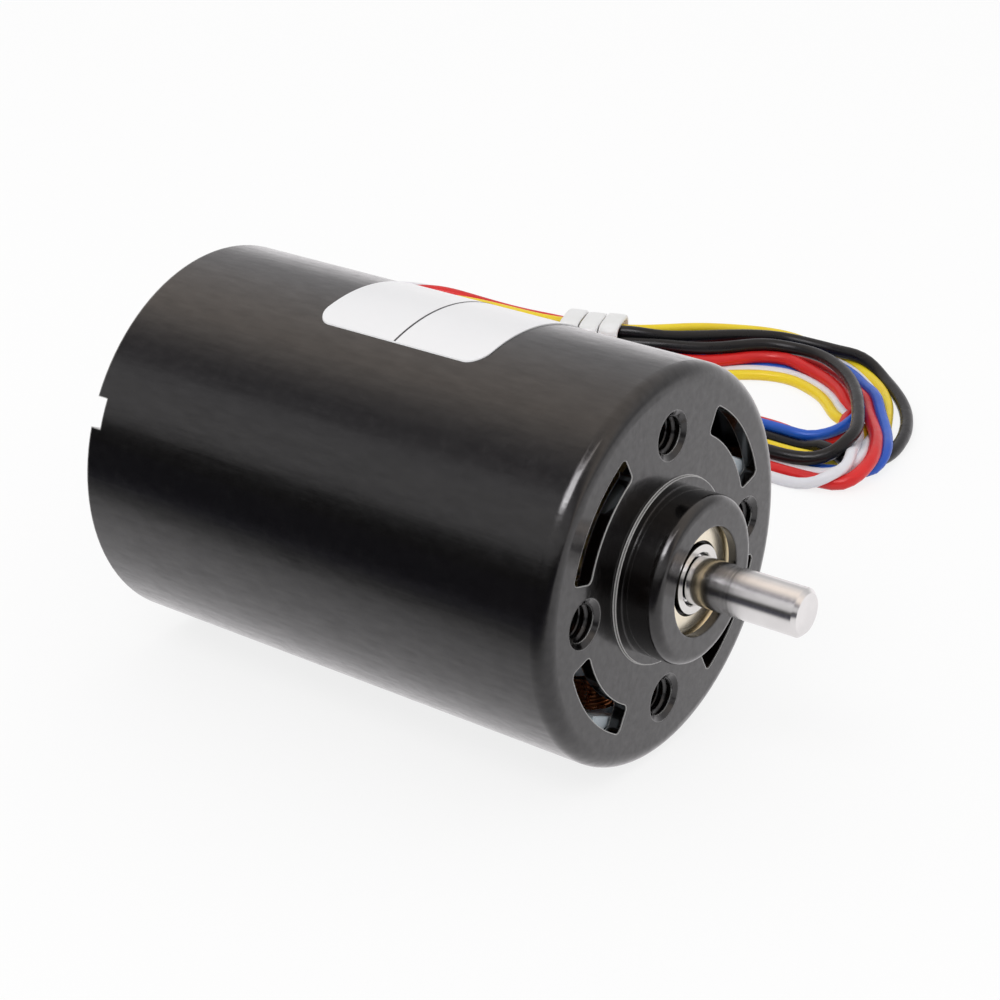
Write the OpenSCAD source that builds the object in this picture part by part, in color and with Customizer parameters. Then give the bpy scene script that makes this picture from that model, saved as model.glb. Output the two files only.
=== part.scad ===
// Brushless dc motor with an inner rotor: a round drawn can with a driver board built in,
// five leads in a loose coil beside it. The motor is drawn standing on its rear end, with the
// front mounting face at height 0 and the shaft pointing up. lay_down() then turns the shaft
// to +X. The middle of the mounting face is the origin, and the motor lies on its can.

/* [Can] */
// Outside diameter of the can
can_d = 42; // [39:0.5:50]
// Thickness of the can's tube wall
can_wall = 1.2; // [0.8:0.1:1.6]
// Thickness of the can's front face
front_wall = 1.5; // [1:0.1:2]
// Rounding of the can's front corner
can_corner = 1.75; // [0.8:0.05:2.2]
// Rounding inside the front corner
can_inner_corner = 0.6; // [0.3:0.1:1]
// Width of each notch in the rear rim
notch_w = 3.3; // [2:0.1:5]
// Depth of each notch in the rear rim
notch_depth = 1.3; // [0.5:0.1:1.6]
// Direction of the first notch round the can
notch_turn = 156; // [120:1:200]

/* [Pilot boss] */
// Diameter of the pilot boss round the front bearing
boss_d = 17.5; // [16.5:0.1:19]
// Height of the pilot boss over the front face
boss_h = 4.4; // [4:0.1:5]
// Rounding of the pilot boss's edge
boss_round = 1; // [0.3:0.1:1.2]
// Thickness of the lip in front of the bearing
boss_lip = 0.94; // [0.7:0.02:1.2]
// Diameter of the hole in the lip
boss_hole_d = 11.4; // [10.5:0.1:12.4]
// Diameter of the flat coined ring round the boss
coin_d = 19.5; // [19:0.1:21]
// Height of the coined ring
coin_h = 0.3; // [0.1:0.05:0.5]

/* [Mounting holes and vents] */
// Diameter of the bolt circle
bolt_circle_d = 29; // [28:0.1:31]
// Diameter of each mounting hole
bolt_d = 4; // [3:0.1:4.2]
// Length of the drawn collar behind each mounting hole
collar_len = 1.8; // [1:0.1:2.5]
// Wall of the drawn collar
collar_wall = 1.1; // [0.7:0.05:1.3]
// Width of the rounded rim of each mounting hole
bolt_rim = 0.6; // [0.2:0.1:0.8]
// Depth of that rim
bolt_rim_depth = 0.45; // [0.2:0.05:0.45]
// Middle radius of the vent slots
vent_r = 15.6; // [15:0.1:16.2]
// Width of the vent slots
vent_w = 3; // [2:0.1:3.6]
// Half of the angle that a vent slot covers
vent_half = 22.7; // [15:0.1:23.5]
// Angle from the horizontal to the middle of each vent slot
vent_turn = 38.6; // [38:0.1:40]
// Rounding of the vent slots' corners
vent_corner = 0.6; // [0.3:0.1:0.9]

/* [Bearings] */
// Diameter of the shaft and of the bearing bores
shaft_d = 5; // [4.6:0.1:5.2]
// Outside diameter of the bearings
bearing_d = 14; // [13.9:0.05:14.6]
// Width of the bearings
bearing_w = 5; // [4.8:0.1:5.6]
// Diameter of a bearing ball
ball_d = 2.38; // [2.2:0.02:2.4]
// Number of balls in a bearing
ball_count = 7; // [6:1:7]
// Gap between the balls and their grooves
ball_gap = 0.03; // [0.02:0.01:0.05]
// How far each ring's shoulder stands above the bottom of its groove
shoulder_h = 0.34; // [0.2:0.02:0.4]
// Outside diameter of the inner ring's stepped face
inner_face_d = 7.2; // [7:0.1:7.4]
// Gap between the inner ring's land and the edge of the shield
shield_gap = 0.04; // [0.03:0.01:0.1]
// Thickness of the shields
shield_t = 0.25; // [0.2:0.05:0.3]
// Depth of the shields under the bearing's face
shield_depth = 0.35; // [0.25:0.05:0.4]
// Wall of the outer ring beside the shields
outer_face_wall = 0.7; // [0.6:0.05:0.8]
// Depth of the shields' turned edge under the bearing's face
shield_edge = 0.05; // [0.02:0.01:0.1]
// Gap between the inner ring's land and the shield over it
land_gap = 0.15; // [0.1:0.01:0.2]
// Chamfer of the bearing bore
bore_chamfer = 0.33; // [0.2:0.01:0.4]
// Gap between the cage and the rings' lands
cage_gap = 0.35; // [0.2:0.05:0.5]
// Length of the cage behind the middle of the balls
cage_back = 1.3; // [1.2:0.05:1.4]
// Length of the cage in front of the middle of the balls
cage_front = 1; // [0.8:0.05:1.1]
// Gap between a ball and its cage pocket
pocket_gap = 0.05; // [0.03:0.01:0.1]

/* [Stator] */
// Distance from the front face to the stator stack
stack_front = 12; // [11:0.5:14]
// Length of the stator stack
stack_len = 28; // [24:1:60]
// Thickness of the yoke ring
yoke_t = 2; // [1.5:0.1:2.4]
// Width of a stator tooth
tooth_w = 3.6; // [3:0.1:4]
// Number of stator teeth
tooth_count = 9; // [9:3:12]
// Thickness of a tooth's tip
tip_t = 1.2; // [0.8:0.1:1.5]
// Width of the slot openings at the bore
slot_opening = 2.2; // [1.5:0.1:2.6]
// Gap between the rotor and the stator bore
air_gap = 0.5; // [0.3:0.05:0.7]
// How far the windings reach past the stack
overhang = 5.6; // [5:0.1:6.5]
// Thickness of the insulators' plates
insulator_t = 0.8; // [0.5:0.1:1]
// Thickness of the insulators' standing walls
insulator_wall = 0.9; // [0.6:0.1:1]
// Thickness of the insulators' skirts along the teeth
skirt_t = 0.25; // [0.15:0.05:0.35]
// Length of the insulators' skirts inside the slots
skirt_len = 4; // [2:0.5:6]
// Gap between a winding and the insulator beside it
coil_gap = 0.1; // [0.05:0.01:0.15]
// Half of the angle left free between neighbouring windings
coil_spread = 2; // [1:0.5:3]
// Rounding of the windings' ends
coil_round = 3; // [1:0.1:3.5]

/* [Rotor] */
// Outside diameter of the rotor
rotor_d = 23; // [21:0.1:23.4]
// Thickness of the rotor magnets
magnet_t = 2.6; // [1.8:0.1:3]
// Number of rotor magnets
magnet_count = 6; // [4:2:8]
// How far the rotor reaches past the stack at each end
rotor_over = 2; // [1:0.1:2.6]
// Angle of the gap between two rotor magnets
magnet_gap = 2; // [1:0.5:4]
// Thickness of the balancing rings
balance_t = 0.8; // [0.5:0.1:1.1]
// Diameter of the balancing rings
balance_d = 21; // [19:0.1:21]
// Diameter of a balancing hole
balance_hole_d = 1.6; // [1:0.1:2]
// Direction of the hole in the front balancing ring
front_hole_turn = 70; // [0:5:355]
// Direction of the hole in the rear balancing ring
rear_hole_turn = 200; // [0:5:355]
// How far the shaft's tip stands out from the front face
shaft_out = 15.8; // [12:0.1:30]
// Chamfer of the shaft's ends
shaft_chamfer = 0.4; // [0.2:0.05:0.6]
// Width of the relief groove in the shaft at the front bearing
relief_w = 0.66; // [0.6:0.02:0.8]
// Depth of the relief groove
relief_t = 0.25; // [0.2:0.05:0.4]
// Diameter of the spacer sleeves on the shaft
sleeve_d = 6.9; // [6.2:0.1:7]

/* [Driver board] */
// Gap between the windings and the board
board_gap = 1.4; // [1:0.1:2]
// Thickness of the board
board_t = 1.6; // [1.2:0.1:2]
// Gap between the board's edge and the can
board_edge_gap = 1; // [0.6:0.1:1.4]
// Diameter of the hole in the middle of the board
board_hole_d = 12; // [10:0.5:14]
// Radius of the ring of position sensors
sensor_r = 10.2; // [9:0.1:10.4]
// Height of a position sensor
sensor_h = 3; // [2:0.1:3.2]
// Diameter of the two capacitors
capacitor_d = 6.3; // [5:0.1:6.6]
// Height of the capacitors
capacitor_h = 5.6; // [4:0.1:6]
// Radius of the ring of parts on the rear of the board
parts_r = 13.8; // [13.4:0.1:14]
// Radius of the ring of board screws
post_r = 16; // [15.6:0.1:16.2]
// Diameter of the posts under the board
post_d = 4.4; // [4:0.1:4.6]
// Thread diameter of the board screws
screw_d = 2; // [1.6:0.1:2.2]
// Length of the board screws under the head
screw_len = 5; // [4:0.1:6]
// Diameter of the board screws' heads
screw_head_d = 3.8; // [3.4:0.1:4.2]
// Height of the board screws' heads
screw_head_h = 1.1; // [0.8:0.1:1.2]

/* [Rear cover] */
// Room between the board and the rear cover
rear_room = 7.4; // [7:0.1:10]
// Thickness of the rear cover
cover_t = 2; // [1.5:0.1:2.5]
// How far the rear cover sits under the can's rim
cover_recess = 2; // [1.9:0.1:3]
// Length of the rear cover's skirt inside the can
skirt_h = 2.6; // [1.5:0.1:4]
// Thickness of the rear cover's skirt
cover_skirt_t = 1; // [0.7:0.1:1]
// Wall of the rear bearing housing
hub_wall = 1.8; // [1.2:0.1:1.8]
// How far the housing reaches past the front of the rear bearing
hub_lead = 1; // [0.4:0.1:1.4]
// Thickness of the wall behind the rear bearing
hub_floor = 1.6; // [1.2:0.1:1.8]
// How far the rear bearing housing bulges out of the cover
hub_bulge = 0.8; // [0.4:0.1:1.4]
// Rounding of the bulge's edge
bulge_round = 0.5; // [0.2:0.1:0.7]
// Width of the ribs inside the rear cover
rib_w = 1.2; // [0.8:0.1:2]
// Height of the ribs inside the rear cover
rib_h = 1.2; // [0.5:0.1:1.6]
// Room for the wave washer behind the rear bearing
washer_room = 0.7; // [0.6:0.05:1]
// Sheet thickness of the wave washer
washer_t = 0.3; // [0.2:0.05:0.35]
// Radial width of the wave washer
washer_w = 1.3; // [1:0.1:1.6]
// Gap between the shaft's rear end and the wall behind it
shaft_end_gap = 0.3; // [0.2:0.1:0.5]

/* [Leads] */
// Diameter of the two power leads over the insulation
power_d = 1.8; // [1.4:0.1:1.9]
// Diameter of the three signal leads over the insulation
signal_d = 1.5; // [1.2:0.1:1.7]
// Distance between neighbouring leads in the grommet
lead_pitch = 2.2; // [2.1:0.05:2.3]
// Gap between a lead and its hole in the grommet
lead_gap = 0.05; // [0.03:0.01:0.1]
// Width of the opening for the leads in the rear cover
window_w = 5.6; // [5.2:0.1:5.8]
// Length of the opening for the leads in the rear cover
window_len = 8.8; // [8.4:0.1:8.9]
// How far the grommet's flanges reach past the opening
grommet_lip = 0.6; // [0.4:0.1:0.7]
// Thickness of the grommet's flanges
grommet_lip_t = 1; // [0.6:0.1:1.4]
// Height of the coil of leads on the floor
coil_h = 6.4; // [5.5:0.1:8]
// Thickness of the tie round the coil
tie_t = 0.6; // [0.4:0.1:0.8]
// Width of each turn of the tie
tie_w = 2.4; // [1.6:0.1:2.6]
// Distance from one turn of the tie to the next
tie_pitch = 3; // [2.8:0.1:3.6]

/* [Label] */
// Length of the label along the can
label_len = 21.2; // [18:0.1:26]
// Distance from the front face to the label
label_from = 18.2; // [12:0.1:24]
// Thickness of the label
label_t = 0.12; // [0.06:0.02:0.2]
// Direction of the label's edge that shows
label_edge = 110; // [95:1:120]
// Angle that the label covers
label_sweep = 78; // [50:1:120]
// Rounding of the label's corners
label_corner = 2; // [1:0.1:3]

/* [Hidden] */
$fn = 96;
small_fn = 48;
past = 1;

can_r = can_d / 2;
can_ir = can_r - can_wall;
boss_r = boss_d / 2;
coin_r = coin_d / 2;
bolt_r = bolt_d / 2;
shaft_r = shaft_d / 2;
bearing_r = bearing_d / 2;

// Heights along the shaft, counted from the front face and negative towards the rear
stack_top = -stack_front;
stack_bottom = stack_top - stack_len;
stack_mid = (stack_top + stack_bottom) / 2;
board_top = stack_bottom - overhang - board_gap;
board_bottom = board_top - board_t;
cover_top = board_bottom - rear_room;
cover_bottom = cover_top - cover_t;
can_len = cover_recess - cover_bottom;
front_bearing_z = boss_h - boss_lip - bearing_w / 2;
hub_bottom = cover_bottom - hub_bulge;
pocket_floor = hub_bottom + hub_floor;
rear_bearing_z = pocket_floor + washer_room + bearing_w / 2;
hub_top = rear_bearing_z + bearing_w / 2 + hub_lead;
shaft_bottom = pocket_floor + shaft_end_gap;
relief_top = front_bearing_z + bearing_w / 2 + 0.06;

// Bearing sections
ball_r = ball_d / 2;
pitch_r = (shaft_r + bearing_r) / 2;
groove_r = ball_r + ball_gap;
inner_land_r = pitch_r - groove_r + shoulder_h;
outer_land_r = pitch_r + groove_r - shoulder_h;
shield_r = bearing_r - outer_face_wall;
shield_bore_r = inner_land_r + shield_gap;
shield_z = bearing_w / 2 - shield_depth - shield_t;
cage_in = inner_land_r + cage_gap;
cage_out = outer_land_r - cage_gap;

// Rotor and stator sections
rotor_r = rotor_d / 2;
core_r = rotor_r - magnet_t;
rotor_len = stack_len + 2 * rotor_over;
rotor_top = stack_top + rotor_over;
rotor_bottom = rotor_top - rotor_len;
stator_r = can_ir;
yoke_r = stator_r - yoke_t;
stator_bore_r = rotor_r + air_gap;
tip_r = stator_bore_r + tip_t;
slot_angle = 360 / tooth_count;
coil_in_r = tip_r + coil_gap;
coil_out_r = yoke_r - coil_gap;
coil_hole_w = tooth_w + 2 * skirt_t + coil_gap;
coil_wedge = slot_angle / 2 - coil_spread;
tooth_root = 0.5;

// Rear end
board_r = can_ir - board_edge_gap;
hub_r = bearing_r + hub_wall;
window_y = 14.2;
window_z = -4;
post_angles = [60, 180, 300];
capacitor_angles = [25, 268];
transistor_angles = [95, 120, 145];
transistor_size = [4, 5, 1.6];
chip_angle = 225;
chip_size = [7, 7, 1];
chip_r = 13.4;
sensor_size = [1.6, 4];
rib_count = 6;

// Leads: sideways and upward place of each in the bundle, in lead pitches
lead_names = ["yellow", "black", "red", "white", "blue"];
lead_places = [[0.5, 1], [0.5, 0], [0.5, -1], [-0.5, 0.5], [-0.5, -0.5]];
lead_diameters = [signal_d, power_d, power_d, signal_d, signal_d];
floor_z = -can_r;
lead_sides = 8;
lead_rings = 15;
// Middle of the bundle of leads, from the board to where the coil starts
lead_route = [
  [board_bottom, window_y, window_z],
  [-61, window_y, window_z],
  [-66, 14.6, -4.2],
  [-76, 17.6, -5.9],
  [-88, 25.5, -10.8],
  [-98, 37, -15.5],
  [-104, 49, -17.6],
  [-104.5, 58, -17.8]
];
// Middle line of the coil on the floor and half of its width there
coil_route = [
  [-98, 84, 3.5],
  [-87, 84, 3.4],
  [-78, 84, 3.4],
  [-69, 84.8, 3.4],
  [-62, 86.4, 3.6],
  [-55, 91, 6],
  [-45, 97.4, 8.2],
  [-34, 96.8, 8],
  [-26, 92, 6.6],
  [-21.4, 84, 5.2],
  [-21.4, 75.6, 5.2],
  [-27.2, 69.6, 5.6],
  [-38, 70.4, 8],
  [-52, 71.5, 7.6],
  [-74, 69.5, 5],
  [-96, 69, 3.6],
  [-103.4, 71.6, 3.5],
  [-104.6, 79.4, 3.5]
];
coil_steps = 6;
coil_tail_y = 58;
coil_tail_w = 6.8;
tie_x = -69;
tie_y = 84.8;
tie_turn = 8;
tie_in_w = 8;

magnet_nodes = [for (i = [1:magnet_count]) str("rotor_magnet_", i)];
winding_nodes = [for (i = [1:tooth_count]) str("winding_", i)];
lead_nodes = [for (name = lead_names) str("lead_", name)];

// Turns the shaft axis from up to +X, so that the motor lies on its can
module lay_down() rotate([90, 0, 90]) children();

module at_height(z) translate([0, 0, z]) children();

// Plate from one height up to another
module slab(low, high) at_height(low) linear_extrude(high - low) children();

// Flat ring sector about the first axis
module ring_sector(r_in, r_out, half) {
  reach = 2 * r_out;
  intersection() {
    difference() {
      circle(r_out);
      circle(r_in);
    }
    polygon([[0, 0], reach * [cos(half), -sin(half)], reach * [cos(half), sin(half)]]);
  }
}

module ring(r_in, r_out) {
  difference() {
    circle(r_out);
    circle(r_in);
  }
}

// Arc slot whose four corners are rounded
module arc_slot(r_in, r_out, half, corner) {
  low = r_in + corner;
  high = r_out - corner;
  ring_sector(low, high, half);
  ring_sector(r_in, r_out, half - asin(corner / low));
  for (side = [-1, 1])
    for (r = [low, high])
      rotate(side * (half - asin(corner / r)))
        translate([r, 0])
          circle(corner, $fn = small_fn);
}

module rounded_plate(w, h, corner) {
  square([w - 2 * corner, h], center = true);
  square([w, h - 2 * corner], center = true);
  for (x = [-1, 1])
    for (y = [-1, 1])
      translate([x * (w / 2 - corner), y * (h / 2 - corner)])
        circle(corner, $fn = small_fn);
}

// Slot with round ends
module round_slot(w, length) {
  square([w, length - w], center = true);
  for (side = [-1, 1])
    translate([0, side * (length - w) / 2])
      circle(d = w, $fn = small_fn);
}

// Radius and height of a plain cylinder whose top outer edge is rounded
module rounded_step(r, low, high, corner) {
  translate([0, low]) square([r - corner, high - low]);
  translate([0, low]) square([r, high - low - corner]);
  translate([r - corner, high - corner]) circle(corner, $fn = small_fn);
}

module bolt_places() {
  for (turn = [0, 90, 180, 270])
    rotate(turn)
      translate([bolt_circle_d / 2, 0])
        children();
}

module can_section() {
  difference() {
    union() {
      rounded_step(can_r, -can_len, 0, can_corner);
      rounded_step(boss_r, -past, boss_h, boss_round);
      translate([0, -past]) square([coin_r, past + coin_h]);
    }
    rounded_step(can_ir, -can_len - past, -front_wall, can_inner_corner);
    translate([0, -can_len]) square([bearing_r, can_len + boss_h - boss_lip]);
    square([boss_hole_d / 2, boss_h + past]);
  }
}

module motor_can() {
  color("dimgray")
    lay_down()
      difference() {
        union() {
          rotate_extrude() can_section();
          bolt_places()
            at_height(-front_wall - collar_len)
              cylinder(r = bolt_r + collar_wall, h = front_wall + collar_len - past / 2, $fn = small_fn);
        }
        bolt_places() {
          at_height(-front_wall - collar_len - past)
            cylinder(r = bolt_r, h = front_wall + collar_len + 2 * past, $fn = small_fn);
          at_height(-bolt_rim_depth)
            cylinder(r1 = bolt_r, r2 = bolt_r + bolt_rim, h = bolt_rim_depth, $fn = small_fn);
        }
        for (turn = [vent_turn, 180 - vent_turn, 180 + vent_turn, -vent_turn])
          rotate(turn)
            slab(-front_wall - past / 2, past)
              arc_slot(vent_r - vent_w / 2, vent_r + vent_w / 2, vent_half, vent_corner);
        for (i = [0:2])
          rotate(notch_turn + i * 120)
            translate([can_ir - past, -notch_w / 2, -can_len - past])
              cube([can_wall + 2 * past, notch_w, notch_depth + past]);
      }
}

module label() {
  middle = label_edge - label_sweep / 2;
  color("white")
    lay_down()
      rotate(middle)
        intersection() {
          at_height(-label_from - label_len)
            linear_extrude(label_len)
              ring(can_r, can_r + label_t);
          at_height(-label_from - label_len / 2)
            rotate([0, 90, 0])
              linear_extrude(can_r + past)
                rounded_plate(label_len, 2 * can_r * sin(label_sweep / 2), label_corner);
        }
}

// Where the leads pass through the rear cover
module window_place() translate([window_y, window_z]) children();

module rear_cover_section() {
  difference() {
    union() {
      translate([0, cover_bottom]) square([can_ir, cover_t]);
      translate([can_ir - cover_skirt_t, cover_bottom]) square([cover_skirt_t, cover_t + skirt_h]);
      translate([0, cover_bottom]) square([hub_r, hub_top - cover_bottom]);
      mirror([0, 1]) rounded_step(hub_r, -cover_top, -hub_bottom, bulge_round);
    }
    translate([0, pocket_floor]) square([bearing_r, hub_top - pocket_floor + past]);
  }
}

module rear_cover() {
  color("gray")
    lay_down()
      difference() {
        union() {
          rotate_extrude() rear_cover_section();
          for (turn = post_angles)
            rotate(turn)
              translate([post_r, 0, cover_bottom])
                cylinder(d = post_d, h = board_bottom - cover_bottom, $fn = small_fn);
          for (i = [0:rib_count - 1])
            rotate((i + 0.5) * 360 / rib_count)
              slab(cover_bottom, cover_top + rib_h)
                translate([hub_r - past / 2, -rib_w / 2])
                  square([can_ir - cover_skirt_t - hub_r + past, rib_w]);
        }
        for (turn = post_angles)
          rotate(turn)
            translate([post_r, 0, board_bottom - screw_len + board_t])
              cylinder(d = screw_d, h = screw_len, $fn = small_fn);
        slab(cover_bottom - past, cover_top + 2 * past)
          window_place()
            round_slot(window_w, window_len);
        slab(cover_top, cover_top + 2 * past)
          window_place()
            round_slot(window_w + 2 * grommet_lip, window_len + 2 * grommet_lip);
      }
}

module lead_holes() {
  for (i = [0:len(lead_places) - 1])
    window_place()
      translate(lead_pitch * lead_places[i])
        circle(d = lead_diameters[i] + 2 * lead_gap, $fn = small_fn);
}

module lead_grommet() {
  lip_w = window_w + 2 * grommet_lip;
  lip_len = window_len + 2 * grommet_lip;
  color("black")
    lay_down()
      difference() {
        union() {
          slab(cover_bottom, cover_top)
            window_place()
              round_slot(window_w, window_len);
          slab(cover_top, cover_top + grommet_lip_t)
            window_place()
              round_slot(lip_w, lip_len);
          slab(cover_bottom - grommet_lip_t, cover_bottom)
            window_place()
              round_slot(lip_w, lip_len);
        }
        slab(cover_bottom - grommet_lip_t - past, cover_top + grommet_lip_t + past)
          lead_holes();
      }
}

module tip_ring(r_in, r_out) {
  difference() {
    ring(r_in, r_out);
    for (i = [0:tooth_count - 1])
      rotate((i + 0.5) * slot_angle)
        translate([0, -slot_opening / 2])
          square([tip_r + past, slot_opening]);
  }
}

module teeth(w) {
  for (i = [0:tooth_count - 1])
    rotate(i * slot_angle)
      translate([tip_r - tooth_root, -w / 2])
        square([yoke_r - tip_r + 2 * tooth_root, w]);
}

module stator_core() {
  color("silver")
    lay_down()
      slab(stack_bottom, stack_top) {
        ring(yoke_r, stator_r);
        teeth(tooth_w);
        tip_ring(stator_bore_r, tip_r);
      }
}

// End cap of the stack, drawn with its plate at height 0 and its walls upward
module insulator() {
  wall_h = overhang - coil_gap;
  slab(0, insulator_t) {
    ring(yoke_r, stator_r - board_edge_gap);
    teeth(tooth_w + 2 * skirt_t);
    tip_ring(stator_bore_r + coil_gap, tip_r);
  }
  slab(0, wall_h)
    ring(yoke_r, yoke_r + insulator_wall);
  slab(0, wall_h - insulator_t)
    tip_ring(tip_r - insulator_wall, tip_r);
  slab(-skirt_len, insulator_t)
    for (i = [0:tooth_count - 1])
      rotate(i * slot_angle)
        for (side = [-1, 1])
          translate([tip_r, side * (tooth_w + skirt_t) / 2 - skirt_t / 2])
            square([coil_out_r - tip_r, skirt_t]);
}

module front_insulator() {
  color("aliceblue")
    lay_down()
      at_height(stack_top)
        insulator();
}

module rear_insulator() {
  color("aliceblue")
    lay_down()
      at_height(stack_bottom)
        mirror([0, 0, 1])
          insulator();
}

// One winding round one tooth, as wide as its share of the slots
module winding(i) {
  outer_len = stack_len + 2 * overhang;
  inner_len = stack_len + 2 * insulator_t;
  color("chocolate")
    lay_down()
      rotate(i * slot_angle)
        intersection() {
          translate([coil_in_r, 0, stack_mid])
            rotate([0, 90, 0])
              linear_extrude(coil_out_r - coil_in_r)
                difference() {
                  rounded_plate(outer_len, 2 * coil_out_r * sin(coil_wedge), coil_round);
                  square([inner_len, coil_hole_w], center = true);
                }
          slab(stack_bottom - overhang - past, stack_top + overhang + past)
            ring_sector(coil_in_r - past, coil_out_r, coil_wedge);
        }
}

module shaft_section() {
  length = shaft_out - shaft_bottom;
  difference() {
    translate([0, shaft_bottom]) square([shaft_r, length]);
    for (end = [[shaft_bottom, 1], [shaft_out, -1]])
      polygon([
        [shaft_r - shaft_chamfer, end[0]],
        [shaft_r + past, end[0] + end[1] * (shaft_chamfer + past)],
        [shaft_r + past, end[0] - end[1] * past],
        [shaft_r - shaft_chamfer, end[0] - end[1] * past]
      ]);
    translate([shaft_r - relief_t, relief_top - relief_w])
      square([relief_t + past, relief_w]);
  }
}

module shaft() {
  color("lightgray")
    lay_down()
      rotate_extrude()
        shaft_section();
}

module rotor_core() {
  color("slategray")
    lay_down()
      slab(rotor_bottom, rotor_top)
        ring(shaft_r, core_r);
}

module rotor_magnet(i) {
  color("darkslategray")
    lay_down()
      rotate((i - 0.5) * 360 / magnet_count)
        slab(rotor_bottom, rotor_top)
          ring_sector(core_r, rotor_r, (360 / magnet_count - magnet_gap) / 2);
}

module balance_ring(low, hole_turn) {
  color("goldenrod")
    lay_down()
      slab(low, low + balance_t)
        difference() {
          ring(shaft_r, balance_d / 2);
          rotate(hole_turn)
            translate([core_r - balance_hole_d / 2, 0])
              circle(d = balance_hole_d, $fn = small_fn);
        }
}

module front_balance_ring() balance_ring(rotor_top, front_hole_turn);

module rear_balance_ring() balance_ring(rotor_bottom - balance_t, rear_hole_turn);

module front_spacer() {
  color("darkgray")
    lay_down()
      slab(rotor_top + balance_t, front_bearing_z - bearing_w / 2)
        ring(shaft_r, sleeve_d / 2);
}

module rear_spacer() {
  color("darkgray")
    lay_down()
      slab(rear_bearing_z + bearing_w / 2, rotor_bottom - balance_t)
        ring(shaft_r, sleeve_d / 2);
}

// Bearing pieces are drawn about height 0, the middle of the bearing
module groove() translate([pitch_r, 0]) circle(groove_r, $fn = small_fn);

module outer_ring_section() {
  difference() {
    translate([outer_land_r, -bearing_w / 2]) square([bearing_r - outer_land_r, bearing_w]);
    for (side = [-1, 1])
      translate([0, side * (shield_z + bearing_w / 2) - bearing_w / 2])
        square([shield_r, bearing_w]);
    groove();
  }
}

module inner_ring_section() {
  step_z = shield_z - land_gap;
  difference() {
    union() {
      translate([shaft_r, -step_z]) square([inner_land_r - shaft_r, 2 * step_z]);
      translate([shaft_r, -bearing_w / 2]) square([inner_face_d / 2 - shaft_r, bearing_w]);
    }
    groove();
    for (side = [-1, 1])
      polygon([
        [shaft_r + bore_chamfer, side * bearing_w / 2],
        [shaft_r - past, side * (bearing_w / 2 - bore_chamfer - past)],
        [shaft_r - past, side * (bearing_w / 2 + past)],
        [shaft_r + bore_chamfer, side * (bearing_w / 2 + past)]
      ]);
  }
}

module shield_section() {
  translate([shield_bore_r, shield_z]) square([shield_r - shield_bore_r, shield_t]);
  translate([shield_r - shield_t, shield_z]) square([shield_t, shield_depth + shield_t - shield_edge]);
}

module bearing_outer_ring(z) {
  color("gainsboro")
    lay_down()
      at_height(z)
        rotate_extrude()
          outer_ring_section();
}

module bearing_inner_ring(z) {
  color("gainsboro")
    lay_down()
      at_height(z)
        rotate_extrude()
          inner_ring_section();
}

module bearing_shields(z) {
  color("wheat")
    lay_down()
      at_height(z)
        rotate_extrude() {
          shield_section();
          mirror([0, 1]) shield_section();
        }
}

module ball_places() {
  for (i = [0:ball_count - 1])
    rotate(i * 360 / ball_count)
      translate([pitch_r, 0, 0])
        children();
}

module bearing_balls(z) {
  color("white")
    lay_down()
      at_height(z)
        ball_places()
          sphere(ball_r, $fn = small_fn);
}

// Crown cage: a ring whose pockets are open towards the front
module bearing_cage(z) {
  color("peru")
    lay_down()
      at_height(z)
        difference() {
          slab(-cage_back, cage_front)
            ring(cage_in, cage_out);
          ball_places()
            sphere(ball_r + pocket_gap, $fn = small_fn);
        }
}

// Sheet ring with three waves that bears on the rear bearing's outer ring
module wave_washer() {
  waves = 3;
  steps = 16 * waves;
  r_out = bearing_r - 0.1;
  r_in = r_out - washer_w;
  swing = (washer_room - washer_t) / 2 - 0.01;
  middle = pocket_floor + washer_room / 2;
  points = [
    for (i = [0:steps - 1])
      for (corner = [[r_in, -1], [r_out, -1], [r_out, 1], [r_in, 1]])
        let (turn = i * 360 / steps)
          [
            corner[0] * cos(turn),
            corner[0] * sin(turn),
            middle + swing * cos(waves * turn) + corner[1] * washer_t / 2
          ]
  ];
  faces = [
    for (i = [0:steps - 1])
      for (k = [0:3])
        let (here = 4 * i, next = 4 * ((i + 1) % steps), up = (k + 1) % 4)
          [here + k, next + k, next + up, here + up]
  ];
  color("silver")
    lay_down()
      polyhedron(points, faces);
}

module board_plate() {
  difference() {
    ring(board_hole_d / 2, board_r);
    for (turn = post_angles)
      rotate(turn)
        translate([post_r, 0])
          circle(d = screw_d, $fn = small_fn);
  }
}

module driver_board() {
  color("darkgreen")
    lay_down()
      slab(board_bottom, board_top)
        board_plate();
}

module board_screws() {
  color("silver")
    lay_down()
      for (turn = post_angles)
        rotate(turn)
          translate([post_r, 0, board_top]) {
            cylinder(d = screw_head_d, h = screw_head_h, $fn = small_fn);
            at_height(-screw_len)
              cylinder(d = screw_d, h = screw_len + screw_head_h / 2, $fn = small_fn);
          }
}

module position_sensors() {
  color("black")
    lay_down()
      for (i = [0:2])
        rotate(i * slot_angle)
          slab(board_top, board_top + sensor_h)
            translate([sensor_r, 0])
              square(sensor_size, center = true);
}

// Boxed part on the rear side of the board
module board_part(size, turn) {
  rotate(turn)
    slab(board_bottom - size[2], board_bottom)
      translate([chip_r, 0])
        square([size[0], size[1]], center = true);
}

module power_transistors() {
  color("black")
    lay_down()
      for (turn = transistor_angles)
        board_part(transistor_size, turn);
}

module control_chip() {
  color("black")
    lay_down()
      board_part(chip_size, chip_angle);
}

module capacitors() {
  color("silver")
    lay_down()
      for (turn = capacitor_angles)
        rotate(turn)
          translate([parts_r, 0, board_bottom - capacitor_h])
            cylinder(d = capacitor_d, h = capacitor_h, $fn = small_fn);
}

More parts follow.
